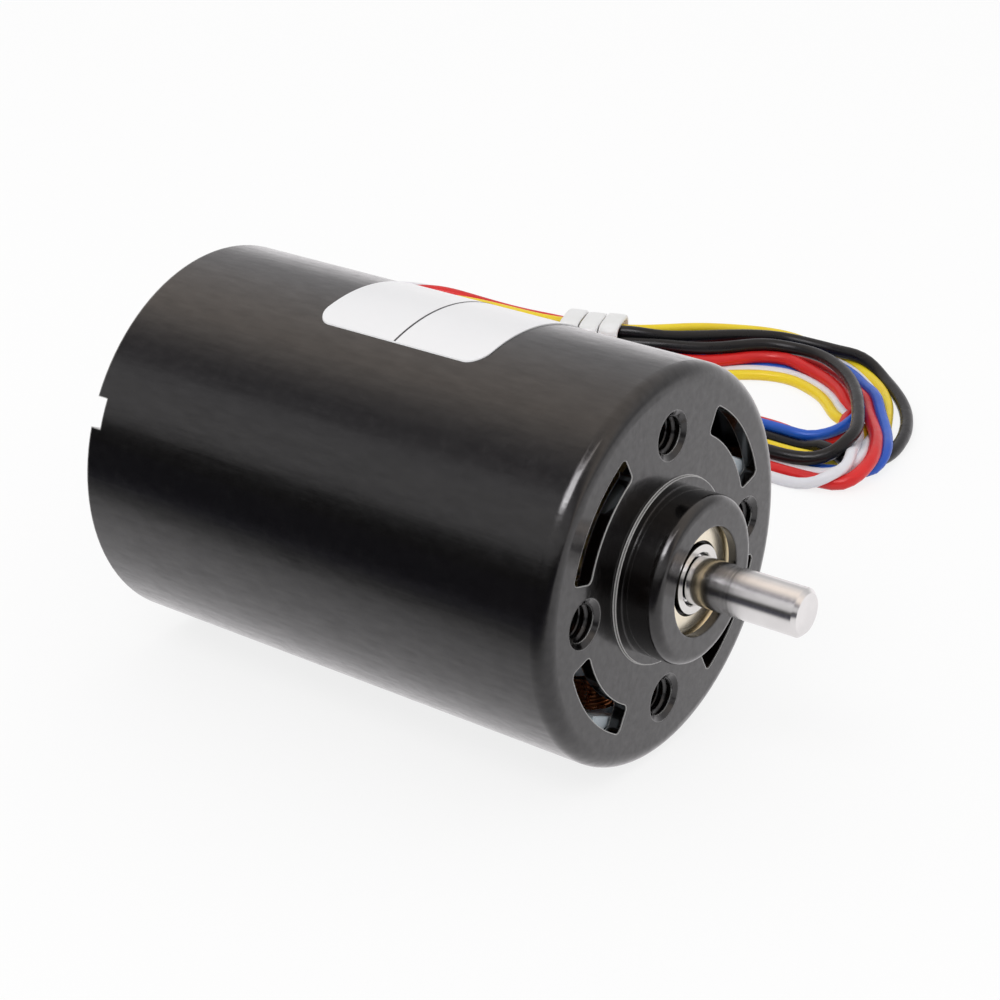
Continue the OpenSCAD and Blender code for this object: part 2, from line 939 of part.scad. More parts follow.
// Point of a smooth curve between b and c, whose neighbours are a and d
function blend(a, b, c, d, t) =
  (2 * b + (c - a) * t + (2 * a - 5 * b + 4 * c - d) * t * t
    + (3 * b - a - 3 * c + d) * t * t * t) / 2;

function pick(list, i) = list[max(0, min(len(list) - 1, i))];

// Point of the open curve through a list, at s from 0 to 1
function along(list, s) =
  let (spans = len(list) - 1, i = min(spans - 1, floor(s * spans)), t = s * spans - i)
  blend(pick(list, i - 1), list[i], list[i + 1], pick(list, i + 2), t);

function unit(v) = v / norm(v);

function heading(list, s) =
  unit(along(list, min(1, s + 0.01)) - along(list, max(0, s - 0.01)));

// Level direction to the right of a heading
function right_of(h) = unit([h[1], -h[0], 0]);

// Tube of one lead, beside the middle of the bundle
module lead(i) {
  r = lead_diameters[i] / 2;
  place = lead_pitch * lead_places[i];
  points = [
    for (k = [0:lead_rings - 1])
      let (
        s = k / (lead_rings - 1),
        ahead = k == 0 ? [-1, 0, 0] : k == lead_rings - 1 ? [0, 1, 0] : heading(lead_route, s),
        right = right_of(ahead),
        up = cross(right, ahead),
        middle = along(lead_route, s) + place[0] * right + place[1] * [0, 0, 1]
      )
      for (j = [0:lead_sides - 1])
        let (turn = (j + 0.5) * 360 / lead_sides)
          middle + r * (cos(turn) * right + sin(turn) * up)
  ];
  last = (lead_rings - 1) * lead_sides;
  walls = [
    for (k = [0:lead_rings - 2])
      for (j = [0:lead_sides - 1])
        let (here = k * lead_sides, next = (j + 1) % lead_sides)
          for (face = [
            [here + j, here + next, here + lead_sides + next],
            [here + j, here + lead_sides + next, here + lead_sides + j]
          ])
            face
  ];
  start_cap = [for (j = [lead_sides - 1:-1:0]) j];
  end_cap = [for (j = [0:lead_sides - 1]) last + j];
  polyhedron(points, concat(walls, [start_cap, end_cap]));
}

function around(list, i) = list[(i + len(list)) % len(list)];

// Point and half width of the coil, at step k round its closed line
function coil_at(k) =
  let (i = floor(k / coil_steps), t = k / coil_steps - i, r = coil_route)
  blend(around(r, i - 1), around(r, i), around(r, i + 1), around(r, i + 2), t);

function coil_edge(k, side) =
  let (p = coil_at(k), q = coil_at(k + 0.25), o = coil_at(k - 0.25), ahead = unit([q[0] - o[0], q[1] - o[1]]))
  [p[0] - side * p[2] * ahead[1], p[1] + side * p[2] * ahead[0]];

module tie_place() {
  translate([tie_x, tie_y, floor_z])
    rotate(tie_turn)
      children();
}

module lead_coil() {
  count = len(coil_route) * coil_steps;
  end = coil_route[len(coil_route) - 1];
  color("dimgray")
    difference() {
      at_height(floor_z) {
        linear_extrude(coil_h)
          difference() {
            polygon([for (k = [0:count - 1]) coil_edge(k, 1)]);
            polygon([for (k = [0:count - 1]) coil_edge(k, -1)]);
          }
        translate([end[0] - coil_tail_w / 2, coil_tail_y, 0])
          cube([coil_tail_w, end[1] - coil_tail_y, coil_h]);
      }
      tie_place()
        cube([3 * tie_pitch + past, 2 * tie_in_w, 2 * tie_t], center = true);
    }
}

// Tie wound three times round the coil, its turns joined by a strip underneath
module lead_tie() {
  color("white")
    tie_place() {
      for (i = [-1, 0, 1])
        translate([i * tie_pitch - tie_w / 2, 0, 0])
          difference() {
            translate([0, -tie_in_w / 2 - tie_t, 0])
              cube([tie_w, tie_in_w + 2 * tie_t, coil_h + tie_t]);
            translate([-past, -tie_in_w / 2, tie_t])
              cube([tie_w + 2 * past, tie_in_w, coil_h - tie_t]);
          }
      translate([-tie_pitch, -tie_w / 2, 0])
        cube([2 * tie_pitch, tie_w, tie_t]);
    }
}

motor_can();
label();
rear_cover();
lead_grommet();
stator_core();
front_insulator();
rear_insulator();
for (i = [1:tooth_count])
  winding(i);
shaft();
rotor_core();
for (i = [1:magnet_count])
  rotor_magnet(i);
front_balance_ring();
rear_balance_ring();
front_spacer();
rear_spacer();
bearing_outer_ring(front_bearing_z);  // front_bearing_outer_ring
bearing_inner_ring(front_bearing_z);  // front_bearing_inner_ring
bearing_shields(front_bearing_z);  // front_bearing_shields
bearing_balls(front_bearing_z);  // front_bearing_balls
bearing_cage(front_bearing_z);  // front_bearing_cage
bearing_outer_ring(rear_bearing_z);  // rear_bearing_outer_ring
bearing_inner_ring(rear_bearing_z);  // rear_bearing_inner_ring
bearing_shields(rear_bearing_z);  // rear_bearing_shields
bearing_balls(rear_bearing_z);  // rear_bearing_balls
bearing_cage(rear_bearing_z);  // rear_bearing_cage
wave_washer();
driver_board();
board_screws();
position_sensors();
power_transistors();
control_chip();
capacitors();
for (i = [0:len(lead_names) - 1])
  color(lead_names[i]) lead(i);
lead_coil();
lead_tie();
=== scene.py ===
import math

import bpy
import numpy as np
from mathutils import Matrix, Vector


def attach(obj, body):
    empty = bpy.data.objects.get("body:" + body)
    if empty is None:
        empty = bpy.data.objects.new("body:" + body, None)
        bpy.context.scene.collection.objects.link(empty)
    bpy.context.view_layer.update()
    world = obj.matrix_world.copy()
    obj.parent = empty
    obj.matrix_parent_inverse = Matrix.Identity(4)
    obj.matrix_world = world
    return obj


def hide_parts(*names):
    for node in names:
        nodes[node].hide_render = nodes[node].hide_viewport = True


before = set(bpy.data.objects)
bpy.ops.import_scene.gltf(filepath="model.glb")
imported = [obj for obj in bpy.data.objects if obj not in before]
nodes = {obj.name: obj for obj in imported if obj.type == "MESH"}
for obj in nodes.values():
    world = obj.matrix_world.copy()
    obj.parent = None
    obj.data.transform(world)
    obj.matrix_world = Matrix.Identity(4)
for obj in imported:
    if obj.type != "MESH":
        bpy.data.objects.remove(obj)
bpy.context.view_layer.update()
scene = bpy.context.scene

MM = 0.001
CAN_R = 21.0
FLOOR = -CAN_R

# Camera, from the fit to the photographed object
CAMERA_AT = (0.114625, -0.181555, 0.106439)
CAMERA_AHEAD = (-0.54311, 0.72766, -0.41897)
CAMERA_RIGHT = (0.80139, 0.59814, 0.0)
LENS, SENSOR = 86.59, 36
CLIP_FROM, CLIP_TO = 0.005, 20


def make_camera():
    data = bpy.data.cameras.new("camera")
    data.sensor_width = SENSOR
    data.lens = LENS
    data.clip_start = CLIP_FROM
    data.clip_end = CLIP_TO
    camera = bpy.data.objects.new("camera", data)
    scene.collection.objects.link(camera)
    right, ahead = Vector(CAMERA_RIGHT), Vector(CAMERA_AHEAD)
    up = right.cross(ahead)
    place = Matrix((right, up, -ahead)).transposed().to_4x4()
    place.translation = CAMERA_AT
    camera.matrix_world = place
    scene.camera = camera


make_camera()


# Helpers for nodes, used by the materials and by the background

def math_node(tree, operation, a, b=None):
    """Result of a math node; each input is a number or another node's output."""
    made = tree.nodes.new("ShaderNodeMath")
    made.operation = operation
    for socket, value in zip(made.inputs, (a, b)):
        if isinstance(value, (int, float)):
            socket.default_value = value
        elif value is not None:
            tree.links.new(value, socket)
    return made.outputs[0]


def range_node(tree, value, start, stop, low=0, high=1):
    """Goes from low to high as the value goes from start to stop."""
    made = tree.nodes.new("ShaderNodeMapRange")
    for key, number in (("From Min", start), ("From Max", stop), ("To Min", low), ("To Max", high)):
        made.inputs[key].default_value = number
    tree.links.new(value, made.inputs["Value"])
    return made.outputs["Result"]


def mix_shaders(tree, factor, a, b):
    made = tree.nodes.new("ShaderNodeMixShader")
    tree.links.new(factor, made.inputs["Fac"])
    tree.links.new(a, made.inputs[1])
    tree.links.new(b, made.inputs[2])
    return made.outputs[0]


def fill_ramp(ramp, stops):
    """Gives a colour ramp its stops: place and colour."""
    elements = ramp.color_ramp.elements
    while len(elements) < len(stops):
        elements.new(0.5)
    for element, (at, color) in zip(elements, stops):
        element.position = at
        element.color = (*color, 1)


def mirrored_ray(tree, path):
    """One for a ray that came by way of a gloss or through something clear."""
    return math_node(tree, "MAXIMUM", path.outputs["Is Glossy Ray"], path.outputs["Is Transmission Ray"])


# Materials

BEVEL_SAMPLES = 8
PAINT_IOR = 1.5
# A painted highlight, a light grey, goes on edges where the rounded shading turns from the face: its cosine,
# full and none
EDGE_HIGHLIGHT_TURN = (0.84, 0.98)
# Only edges further out than the pilot boss get the painted highlight: metres from the axis, none and full
EDGE_HIGHLIGHT_REACH = (0.0090, 0.0094)


class Paint:
    """A node material built up call by call."""

    def __init__(self, name, color, rough, metal=0.0, spec=0.5, coat=0.0, coat_rough=0.1):
        self.mat = bpy.data.materials.new(name)
        self.mat.use_nodes = True
        self.mat.diffuse_color = (*color, 1)
        self.tree = self.mat.node_tree
        self.bsdf = self.tree.nodes["Principled BSDF"]
        self.set("Base Color", (*color, 1))
        self.set("Roughness", rough)
        self.set("Metallic", metal)
        self.set("Specular IOR Level", spec)
        self.set("Coat Weight", coat)
        self.set("Coat Roughness", coat_rough)
        self.set("IOR", PAINT_IOR)

    def set(self, socket, value):
        self.bsdf.inputs[socket].default_value = value

    def under(self, weight, radius):
        """Lets some light in under the surface."""
        self.set("Subsurface Weight", weight)
        self.set("Subsurface Radius", radius)

    def node(self, kind, **values):
        made = self.tree.nodes.new(kind)
        for key, value in values.items():
            if key in made.inputs:
                made.inputs[key].default_value = value
            else:
                setattr(made, key, value)
        return made

    def link(self, a, b):
        self.tree.links.new(a, b)

    def place(self, stretch=(1, 1, 1)):
        """The object's own coordinates in metres, stretched."""
        coords = self.node("ShaderNodeTexCoord")
        mapping = self.node("ShaderNodeMapping")
        mapping.inputs["Scale"].default_value = stretch
        self.link(coords.outputs["Object"], mapping.inputs["Vector"])
        return mapping.outputs["Vector"]

    def noise(self, scale, detail=4, rough=0.5, stretch=(1, 1, 1)):
        made = self.node("ShaderNodeTexNoise", Scale=scale, Detail=detail, Roughness=rough)
        self.link(self.place(stretch), made.inputs["Vector"])
        return made.outputs["Fac"]

    def reach(self):
        """Distance from the shaft's axis in metres, and the place along it."""
        parts = self.node("ShaderNodeSeparateXYZ")
        self.link(self.place(), parts.inputs[0])
        x, y, z = parts.outputs
        squares = [math_node(self.tree, "MULTIPLY", side, side) for side in (y, z)]
        return math_node(self.tree, "SQRT", math_node(self.tree, "ADD", *squares)), x

    def turned(self, scale):
        """Noise that is the same all the way round the shaft, as a lathe leaves it."""
        r, x = self.reach()
        join = self.node("ShaderNodeCombineXYZ")
        self.link(r, join.inputs[0])
        self.link(x, join.inputs[1])
        made = self.node("ShaderNodeTexNoise", Scale=scale, Detail=3, Roughness=0.6)
        self.link(join.outputs[0], made.inputs["Vector"])
        return made.outputs["Fac"]

    def spread(self, value, low, high, start=0.3, stop=0.7):
        return range_node(self.tree, value, start, stop, low, high)

    def vary_color(self, value, other, start=0.35, stop=0.65):
        """Goes from the colour so far to another as the value goes from start to stop."""
        mix = self.node("ShaderNodeMix", data_type="RGBA")
        self.link(self.spread(value, 0, 1, start, stop), mix.inputs["Factor"])
        base = self.bsdf.inputs["Base Color"]
        if base.is_linked:
            self.link(base.links[0].from_socket, mix.inputs["A"])
        else:
            mix.inputs["A"].default_value = base.default_value
        mix.inputs["B"].default_value = (*other, 1)
        self.link(mix.outputs["Result"], base)

    def vary_rough(self, value, low, high):
        self.link(self.spread(value, low, high), self.bsdf.inputs["Roughness"])

    def vary_coat(self, value, low, high):
        self.link(self.spread(value, low, high), self.bsdf.inputs["Coat Weight"])

    def soft_edges(self, radius, edge_highlight=None, most=1.0):
        """Rounds the edges in the shading, before any bump, and paints a highlight colour on them."""
        made = self.node("ShaderNodeBevel", Radius=radius, samples=BEVEL_SAMPLES)
        self.link(made.outputs["Normal"], self.bsdf.inputs["Normal"])
        if edge_highlight:
            flat = self.node("ShaderNodeNewGeometry")
            turn = self.node("ShaderNodeVectorMath", operation="DOT_PRODUCT")
            self.link(made.outputs["Normal"], turn.inputs[0])
            self.link(flat.outputs["Normal"], turn.inputs[1])
            # Painted highlight: a lighter colour on the edges, stronger as the rounded shading turns further
            # from the face
            highlit = self.spread(turn.outputs["Value"], most, 0, *EDGE_HIGHLIGHT_TURN)
            outer = self.spread(self.reach()[0], 0, 1, *EDGE_HIGHLIGHT_REACH)
            self.vary_color(math_node(self.tree, "MULTIPLY", highlit, outer), edge_highlight, 0, 1)

    def bump(self, value, strength, distance):
        """Adds relief on top of the bumps so far."""
        made = self.node("ShaderNodeBump", Strength=strength, Distance=distance)
        self.link(value, made.inputs["Height"])
        normal = self.bsdf.inputs["Normal"]
        if normal.is_linked:
            self.link(normal.links[0].from_socket, made.inputs["Normal"])
        self.link(made.outputs["Normal"], normal)


CAN_BLACK, CAN_BROWN = (0.0010, 0.0009, 0.0010), (0.0030, 0.0021, 0.0018)
# Light grey painted on the can's edges as a highlight
CAN_EDGE_HIGHLIGHT = (0.62, 0.61, 0.60)


def paint_can(name, edge_highlight=None):
    """Glossy black over drawn steel: faint lines along the shaft, orange peel and fine grain."""
    p = Paint(name, CAN_BLACK, 0.2, coat=0.5, coat_rough=0.06)
    p.vary_color(p.noise(70, 3, 0.55, stretch=(0.12, 1, 1)), CAN_BROWN)
    p.soft_edges(0.0003, edge_highlight=edge_highlight, most=0.9)
    p.vary_rough(p.noise(900, 4, 0.65), 0.14, 0.27)
    p.vary_coat(p.noise(1300, 5, 0.65, stretch=(0.25, 1, 1)), 0.34, 0.68)
    p.bump(p.noise(760, 3, 0.5, stretch=(0.03, 1, 1)), 0.22, 0.0001)
    p.bump(p.noise(420, 2, 0.5), 0.14, 0.00025)
    p.bump(p.noise(2600, 3, 0.6), 0.14, 0.00004)
    return p.mat


def paint_metal(name, color, rough, other=None, grain=900, stretch=(1, 1, 1), wear=0.06, depth=0.15):
    p = Paint(name, color, rough, metal=1.0)
    lines = p.noise(grain, 4, 0.6, stretch=stretch)
    p.vary_color(p.noise(160, 3), other or tuple(c * 0.82 for c in color))
    p.vary_rough(lines, max(0.02, rough - wear), rough + wear)
    p.bump(lines, depth, 0.00002)
    return p.mat


# Painted shade for the gaps between a bearing's parts
GAP_PAINTED_SHADE = (0.012, 0.012, 0.013)


def paint_turned(name, color, rough, other=None, scale=9000, wear=0.05, depth=0.03, dark=()):
    """Metal with fine rings round the shaft; dark lists ranges of radius in mm where shade is painted on,
    for the gaps between parts.
    """
    p = Paint(name, color, rough, metal=1.0)
    lines = p.turned(scale)
    p.vary_color(p.noise(300, 3), other or tuple(c * 0.92 for c in color))
    p.vary_rough(lines, max(0.02, rough - wear), rough + wear)
    # Painted shade in the gaps at these radii
    for full, none in dark:
        p.vary_color(p.reach()[0], GAP_PAINTED_SHADE, none * MM, full * MM)
    p.bump(lines, depth, 0.00001)
    return p.mat


def paint_plastic(name, color, rough, other=None, grain=1200, depth=0.1, coat=0.0, under=0.0):
    p = Paint(name, color, rough, coat=coat)
    if under:
        p.under(under, (0.0006, 0.0005, 0.0005))
    p.vary_color(p.noise(220, 4), other or tuple(min(1, c * 0.88) for c in color))
    p.vary_rough(p.noise(500, 3), rough - 0.05, rough + 0.06)
    p.bump(p.noise(grain, 3, 0.6), depth, 0.00003)
    return p.mat


# Helpers for shapes

def dress(mat, *names):
    for name in names:
        slots = nodes[name].data.materials
        if len(slots) == 0:
            slots.append(mat)
        for i in range(len(slots)):
            slots[i] = mat


def both(name):
    return "front_" + name, "rear_" + name


def numbered(name, count):
    return ["%s_%d" % (name, i) for i in range(1, count + 1)]


def new_mesh(name, points, faces, mat, body="housing", smooth=True, slot=None):
    mesh = bpy.data.meshes.new(name)
    places = [tuple(float(c) for c in point) for point in points]
    mesh.from_pydata(places, [], [tuple(int(i) for i in face) for face in faces])
    mesh.materials.append(mat)
    if smooth:
        mesh.shade_smooth()
    obj = bpy.data.objects.new(name, mesh)
    scene.collection.objects.link(obj)
    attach(obj, body)
    return obj


def rings(sections, loop=False):
    """Faces that join rings of points in order; each ring has the same number of points."""
    count, sides = len(sections), len(sections[0])
    points = [p for ring in sections for p in ring]
    faces = []
    for k in range(count if loop else count - 1):
        for j in range(sides):
            a, b = k * sides, (k + 1) % count * sides
            faces.append((a + j, a + (j + 1) % sides, b + (j + 1) % sides, b + j))
    if not loop:
        faces.append(tuple(range(sides - 1, -1, -1)))
        faces.append(tuple((count - 1) * sides + j for j in range(sides)))
    return points, faces


def join_rings(forms, loop=False):
    """Points and faces of several forms in one, each form a list of rings."""
    points, faces = [], []
    for sections in forms:
        more, more_faces = rings(sections, loop)
        faces += [tuple(i + len(points) for i in face) for face in more_faces]
        points += more
    return points, faces


# Leads: the free stretch repeats the route in the source, then two turns round the coil

FREE_ROUTE = [
    (-48.6, 14.2, -4), (-61, 14.2, -4), (-66, 14.6, -4.2), (-76, 17.6, -5.9),
    (-88, 25.5, -10.8), (-98, 37, -15.5), (-104, 49, -17.6), (-104.5, 58, -17.8),
]
COIL_ROUTE = [
    (-98, 84), (-87, 84), (-78, 84), (-69, 84.8), (-62, 86.4), (-55, 91), (-45, 97.4), (-34, 96.8),
    (-26, 92), (-21.4, 84), (-21.4, 75.6), (-27.2, 69.6), (-38, 70.4), (-52, 71.5), (-74, 69.5),
    (-96, 69), (-103.4, 71.6), (-104.6, 79.4),
]
# Diameter of each lead, and its place beside the middle of the bundle: right, up
LEADS = {
    "yellow": (1.5, 0.5, 1), "black": (1.8, 0.5, 0), "red": (1.8, 0.5, -1),
    "white": (1.5, -0.5, 0.5), "blue": (1.5, -0.5, -0.5),
}
LEAD_PITCH = 2.2
# Distance between a lead's points, and how many from the motor stay where they are laid
LEAD_STEP = 1.25
FREE_COUNT = 70
# Slots of the ten strands where the coil is tied together, in degrees round the bundle
SLOTS = {
    "red1": 190, "white1": 235, "yellow1": 280, "white2": 325, "red2": 10,
    "yellow2": 55, "black2": 100, "black1": 145, "blue1": 212, "blue2": 32,
}
# Two strands lie in the middle, the others round them; the bundle's radii and its height
CORE = ("blue1", "blue2")
BUNDLE_R, CORE_R, BUNDLE_Z = 2.12, 0.85, -17.5
# The bundle's turn and its shift to the outside, by place round the coil
TWIST = [(16.8, 148), (17.2, 140), (18, 98), (19, 31), (20.2, 36), (21, 20), (21.6, 20)]
SHIFT = [(19, 0), (20.4, 0.4), (21, 1), (21.6, 1.5)]
TIED_PLACES = (17.6, 18.2, 18.8, 19.5, 20.2, 21, 21.6)
# Where each strand lies from the tie round to the near side of the coil
LOOSE = {
    "yellow2": [
        (-60.8, 90.6, -15.4), (-57, 96, -15.9), (-53.4, 100.8, -16.8), (-50.6, 104.2, -17.6),
        (-47, 107.4, -18.8), (-41, 107.6, -20.1), (-34.4, 104.2, -20.2), (-29.9, 100.4, -20.2),
        (-26.6, 96.3, -20.2), (-24.2, 92, -20.2), (-22.4, 87.4, -20.2), (-21, 83, -20.2),
        (-20, 78.3, -20.2), (-20.6, 74.8, -20.2), (-23.2, 72.6, -20.2), (-27.2, 71.6, -20.2),
        (-32, 71.6, -20.2)],
    "black2": [
        (-60.4, 88, -15.6), (-56.5, 92.2, -16), (-52.9, 97.4, -16.8), (-49.8, 102, -17.6),
        (-46.2, 104.8, -18.2), (-41.8, 105.8, -18.4), (-37, 105.6, -18.8), (-32.2, 104, -19.6),
        (-27.6, 100.6, -20.1), (-22.4, 94.5, -20.1), (-18.8, 87.7, -20.1), (-17.1, 81.1, -20.1),
        (-17.2, 77.4, -20.1), (-18.5, 74.9, -20.1), (-21, 74.1, -20.1), (-24.4, 74.6, -20.1),
        (-27.9, 75.4, -20.1), (-32, 75.8, -20.1)],
    "black1": [
        (-59.5, 87, -16.4), (-53.6, 91, -16.7), (-49.5, 95.6, -17), (-45.7, 99.2, -17.2),
        (-40.7, 100, -17.1), (-35.9, 97.8, -16.8), (-30.6, 93.2, -16.5), (-26.3, 87.6, -16.4),
        (-22.1, 80.3, -16.4), (-20.4, 75.7, -16.8), (-20.7, 72.1, -17.6), (-23.1, 69.8, -18.4),
        (-27.6, 68.8, -18.7), (-33, 69.4, -18.9)],
    "red1": [
        (-59.5, 85.4, -17.8), (-52.9, 90.3, -18.6), (-49.5, 95, -19), (-45.5, 98.2, -19.2),
        (-41.4, 98.4, -19.3), (-35.8, 96, -19.4), (-31, 92.6, -19.8), (-26.9, 88.2, -20.1),
        (-25, 83.4, -20.1), (-24.8, 79.6, -20.1), (-26.4, 77.8, -20.1), (-29.2, 77.9, -20.1),
        (-33.6, 79.1, -20.1)],
    "red2": [
        (-60.5, 87.6, -18.2), (-54.5, 94, -18.6), (-49.5, 99.8, -19.4), (-44.3, 103, -20),
        (-38.6, 102, -19.8), (-31.5, 96.6, -19.2), (-25.5, 89.7, -18.8), (-20.6, 82.5, -18.6),
        (-16.9, 75, -18.4), (-16.2, 69.6, -18.8), (-17.7, 67.3, -19.7), (-21.6, 67.2, -20.1),
        (-25.8, 67, -20.1), (-32, 67.4, -20.1)],
    "blue2": [
        (-60.5, 88.6, -17.2), (-54.8, 95.5, -17.6), (-49.4, 101.5, -18.8), (-43, 104.4, -19.6),
        (-35.2, 101.4, -19.3), (-31.4, 98.1, -19), (-25, 90.6, -18.4), (-19.9, 83.7, -18.3),
        (-16.9, 77.8, -18.4), (-16.4, 73.8, -19), (-18.7, 72, -20), (-22.3, 70.9, -20.2),
        (-26.5, 70.3, -20.2), (-32, 70.4, -20.2)],
    "blue1": [
        (-59.6, 86.6, -17.6), (-53, 92, -18.6), (-46.6, 97.2, -20.2), (-40, 98.6, -20.2),
        (-34, 95.8, -20.2), (-30, 92, -20.2), (-26.6, 87.8, -19.4), (-24.6, 83, -18.9),
        (-25.2, 79, -18.9), (-27.3, 76.6, -18.9), (-30.2, 75.9, -18.9), (-34, 76.6, -18.9)],
    "white1": [
        (-59.5, 84.4, -18.8), (-52.8, 89.6, -19.6), (-48, 95.4, -20.2), (-45, 96.8, -20.2),
        (-40.2, 97, -20.2), (-34.2, 94.2, -20.2), (-28.5, 89.6, -20.2), (-23, 82.6, -20.1),
        (-19.4, 75.6, -19), (-17.9, 71.6, -18.6), (-18, 67.6, -18.7), (-20.9, 65.6, -20),
        (-24.9, 64.9, -20.2), (-32, 65.5, -20.2)],
    "white2": [
        (-60.5, 87.8, -19.6), (-53, 95.5, -20), (-45, 104, -20.2), (-37, 104.4, -20.2),
        (-32.5, 101.6, -20.2), (-28.3, 97.3, -20.1), (-25.2, 92.9, -20.1), (-22.9, 88.1, -20.1),
        (-20.5, 81.6, -19.8), (-18.4, 75.6, -18.9), (-18.4, 72, -19), (-20.8, 69.8, -20),
        (-24.6, 69, -20.2), (-28.1, 68.8, -20.2), (-33, 69, -20.2)],
    "yellow1": [
        (-59.5, 83.8, -19.8), (-51, 90, -20.2), (-46.6, 93.6, -20.2), (-43.6, 95.1, -20.2),
        (-39.6, 95.3, -20.2), (-35.7, 94, -20.2), (-29.3, 89.8, -20.2), (-24.6, 85, -20.2),
        (-22.4, 80.2, -20.2), (-22.6, 76.4, -20.2), (-25, 74.2, -20.2), (-28.6, 73.4, -20.2),
        (-33, 73.6, -20.2)],
}
# Lanes behind the can on the near side: how far out and how high, at their start and their end
LANES = {
    "red1": (-7, -20.1, -4, -20.1), "blue1": (-5.2, -19, -3.1, -18.8),
    "black2": (-4.2, -20.1, -2.3, -20.1), "yellow1": (-2.2, -20.2, -0.6, -20.2),
    "black1": (-0.6, -18.8, -1.4, -18.7), "yellow2": (-0.4, -20.2, 0.2, -18.9),
    "blue2": (1.2, -20.2, 1.1, -20.2), "white2": (2.4, -19.6, 1.9, -18.9),
    "red2": (3.6, -20.1, 2.8, -20.1), "white1": (5.4, -20.2, 4.4, -20.2),
}
# Lanes at the far end between the two turns
TURN_LANES = {
    "red": (-1.9, -20.1), "yellow": (-0.2, -20.2), "white": (1.5, -20.2),
    "blue": (-1.1, -18.8), "black": (0.6, -18.6),
}
# Places round the coil, counted in its points: where each turn comes to the tie, the lanes on
# the near side, and the far end between the two turns
TIE_FROM = (17, 17.1)
LANE_FROM, LANE_MID, LANE_TO = 13.1, 13.7, 14.2
BACK_FROM, BACK_MID, BACK_TO = 14.8, 15.4, 16.2
# The lanes draw in before the second turn: share of the way out, and how far inward
DRAW_IN, INWARD = 0.6, 1.2
CURVE_STEP = 0.05


def curve_through(points, t, closed=False):
    """Points at t along a smooth line through the given points; t counts points."""
    p = np.asarray(points, float)
    n = len(p)
    if closed:
        i = np.floor(t).astype(int)
        a, b, c, d = (p[(i + k) % n] for k in (-1, 0, 1, 2))
    else:
        i = np.clip(np.floor(t).astype(int), 0, n - 2)
        a, b, c, d = p[np.maximum(i - 1, 0)], p[i], p[i + 1], p[np.minimum(i + 2, n - 1)]
    u = (t - i)[:, None]
    square, cube = 2 * a - 5 * b + 4 * c - d, 3 * b - a - 3 * c + d
    return (2 * b + (c - a) * u + square * u ** 2 + cube * u ** 3) / 2


def in_coil(t, side, height):
    """A point beside the coil's middle line at t, side to the outside."""
    near = curve_through(COIL_ROUTE, np.array([t - 0.1, t, t + 0.1]), closed=True)
    ahead = near[2] - near[0]
    ahead /= np.linalg.norm(ahead)
    return [near[1][0] - ahead[1] * side, near[1][1] + ahead[0] * side, height]


def in_bundle(strand, t):
    """A point of one strand where the coil is tied together."""
    turn = math.radians(SLOTS[strand] + np.interp(t, *zip(*TWIST)))
    r = CORE_R if strand in CORE else BUNDLE_R
    side = r * math.cos(turn) + np.interp(t, *zip(*SHIFT))
    return in_coil(t, side, BUNDLE_Z + r * math.sin(turn))


def spaced(points, step):
    """The same line with its points evenly apart."""
    p = np.asarray(points, float)
    run = np.r_[0, np.cumsum(np.linalg.norm(np.diff(p, axis=0), axis=1))]
    s = np.linspace(0, run[-1], max(2, int(round(run[-1] / step)) + 1))
    return np.stack([np.interp(s, run, p[:, k]) for k in range(3)], 1)


def lay_lead(colour):
    """The lead's line before it settles: out of the motor, then twice round the coil."""
    _, right, up = LEADS[colour]
    route = np.array(FREE_ROUTE, float)
    beside = right * LEAD_PITCH
    points = []
    for k in range(len(route)):
        ahead = (route[min(k + 1, len(route) - 1)] - route[max(k - 1, 0)])[:2]
        ahead = ahead / np.linalg.norm(ahead)
        x, y, z = route[k]
        points.append([x + ahead[1] * beside, y - ahead[0] * beside, z + up * LEAD_PITCH])
    for turn in (1, 2):
        strand = colour + str(turn)
        points += [in_bundle(strand, t) for t in (TIE_FROM[turn - 1], *TIED_PLACES)]
        points += [list(p) for p in LOOSE[strand]]
        side, z, last_side, last_z = LANES[strand]
        points.append(in_coil(LANE_FROM, side, z))
        points.append(in_coil(LANE_MID, (side + last_side) / 2, (z + last_z) / 2))
        points.append(in_coil(LANE_TO, last_side, last_z))
        if turn == 1:
            side, z = TURN_LANES[colour]
            points.append(in_coil(BACK_FROM, (last_side + side) / 2, (last_z + z) / 2))
            points.append(in_coil(BACK_MID, side, z))
            points.append(in_coil(BACK_TO, DRAW_IN * side - INWARD, z))
    t = np.arange(0, len(points) - 1 + 1e-9, CURVE_STEP)
    return spaced(curve_through(points, t), LEAD_STEP)


# How the strands settle: rounds, and how much of each move is made in a round
SETTLE_ROUNDS = 150
SMOOTH, UNSMOOTH, HOLD, FALL, PUSH = 0.5, 0.49, 0.03, 0.01, 1.5
# Close pairs are looked for again after some rounds, for so many points at a time, this far off,
# and not among so many neighbours on the same strand
SEARCH_EVERY, SEARCH_ROWS, SEARCH_OFF, SEARCH_OWN = 8, 400, 1.0, 8


def close_pairs(p, rad, which, order):
    """Numbers of the pairs of points that lie close enough to touch soon."""
    first, second = [], []
    every = np.arange(len(p))
    for low in range(0, len(p), SEARCH_ROWS):
        rows = slice(low, min(low + SEARCH_ROWS, len(p)))
        gap = ((p[rows, None] - p[None]) ** 2).sum(2)
        near = gap < (rad[rows, None] + rad[None] + SEARCH_OFF) ** 2
        near &= every[None] > every[rows, None]
        beside = np.abs(order[rows, None] - order[None]) < SEARCH_OWN
        near &= ~((which[rows, None] == which[None]) & beside)
        i, j = np.nonzero(near)
        first.append(i + low)
        second.append(j)
    return np.concatenate(first), np.concatenate(second)


def off_middle(p):
    """From each inner point to the middle of its neighbours."""
    return (p[:-2] + p[2:]) / 2 - p[1:-1]


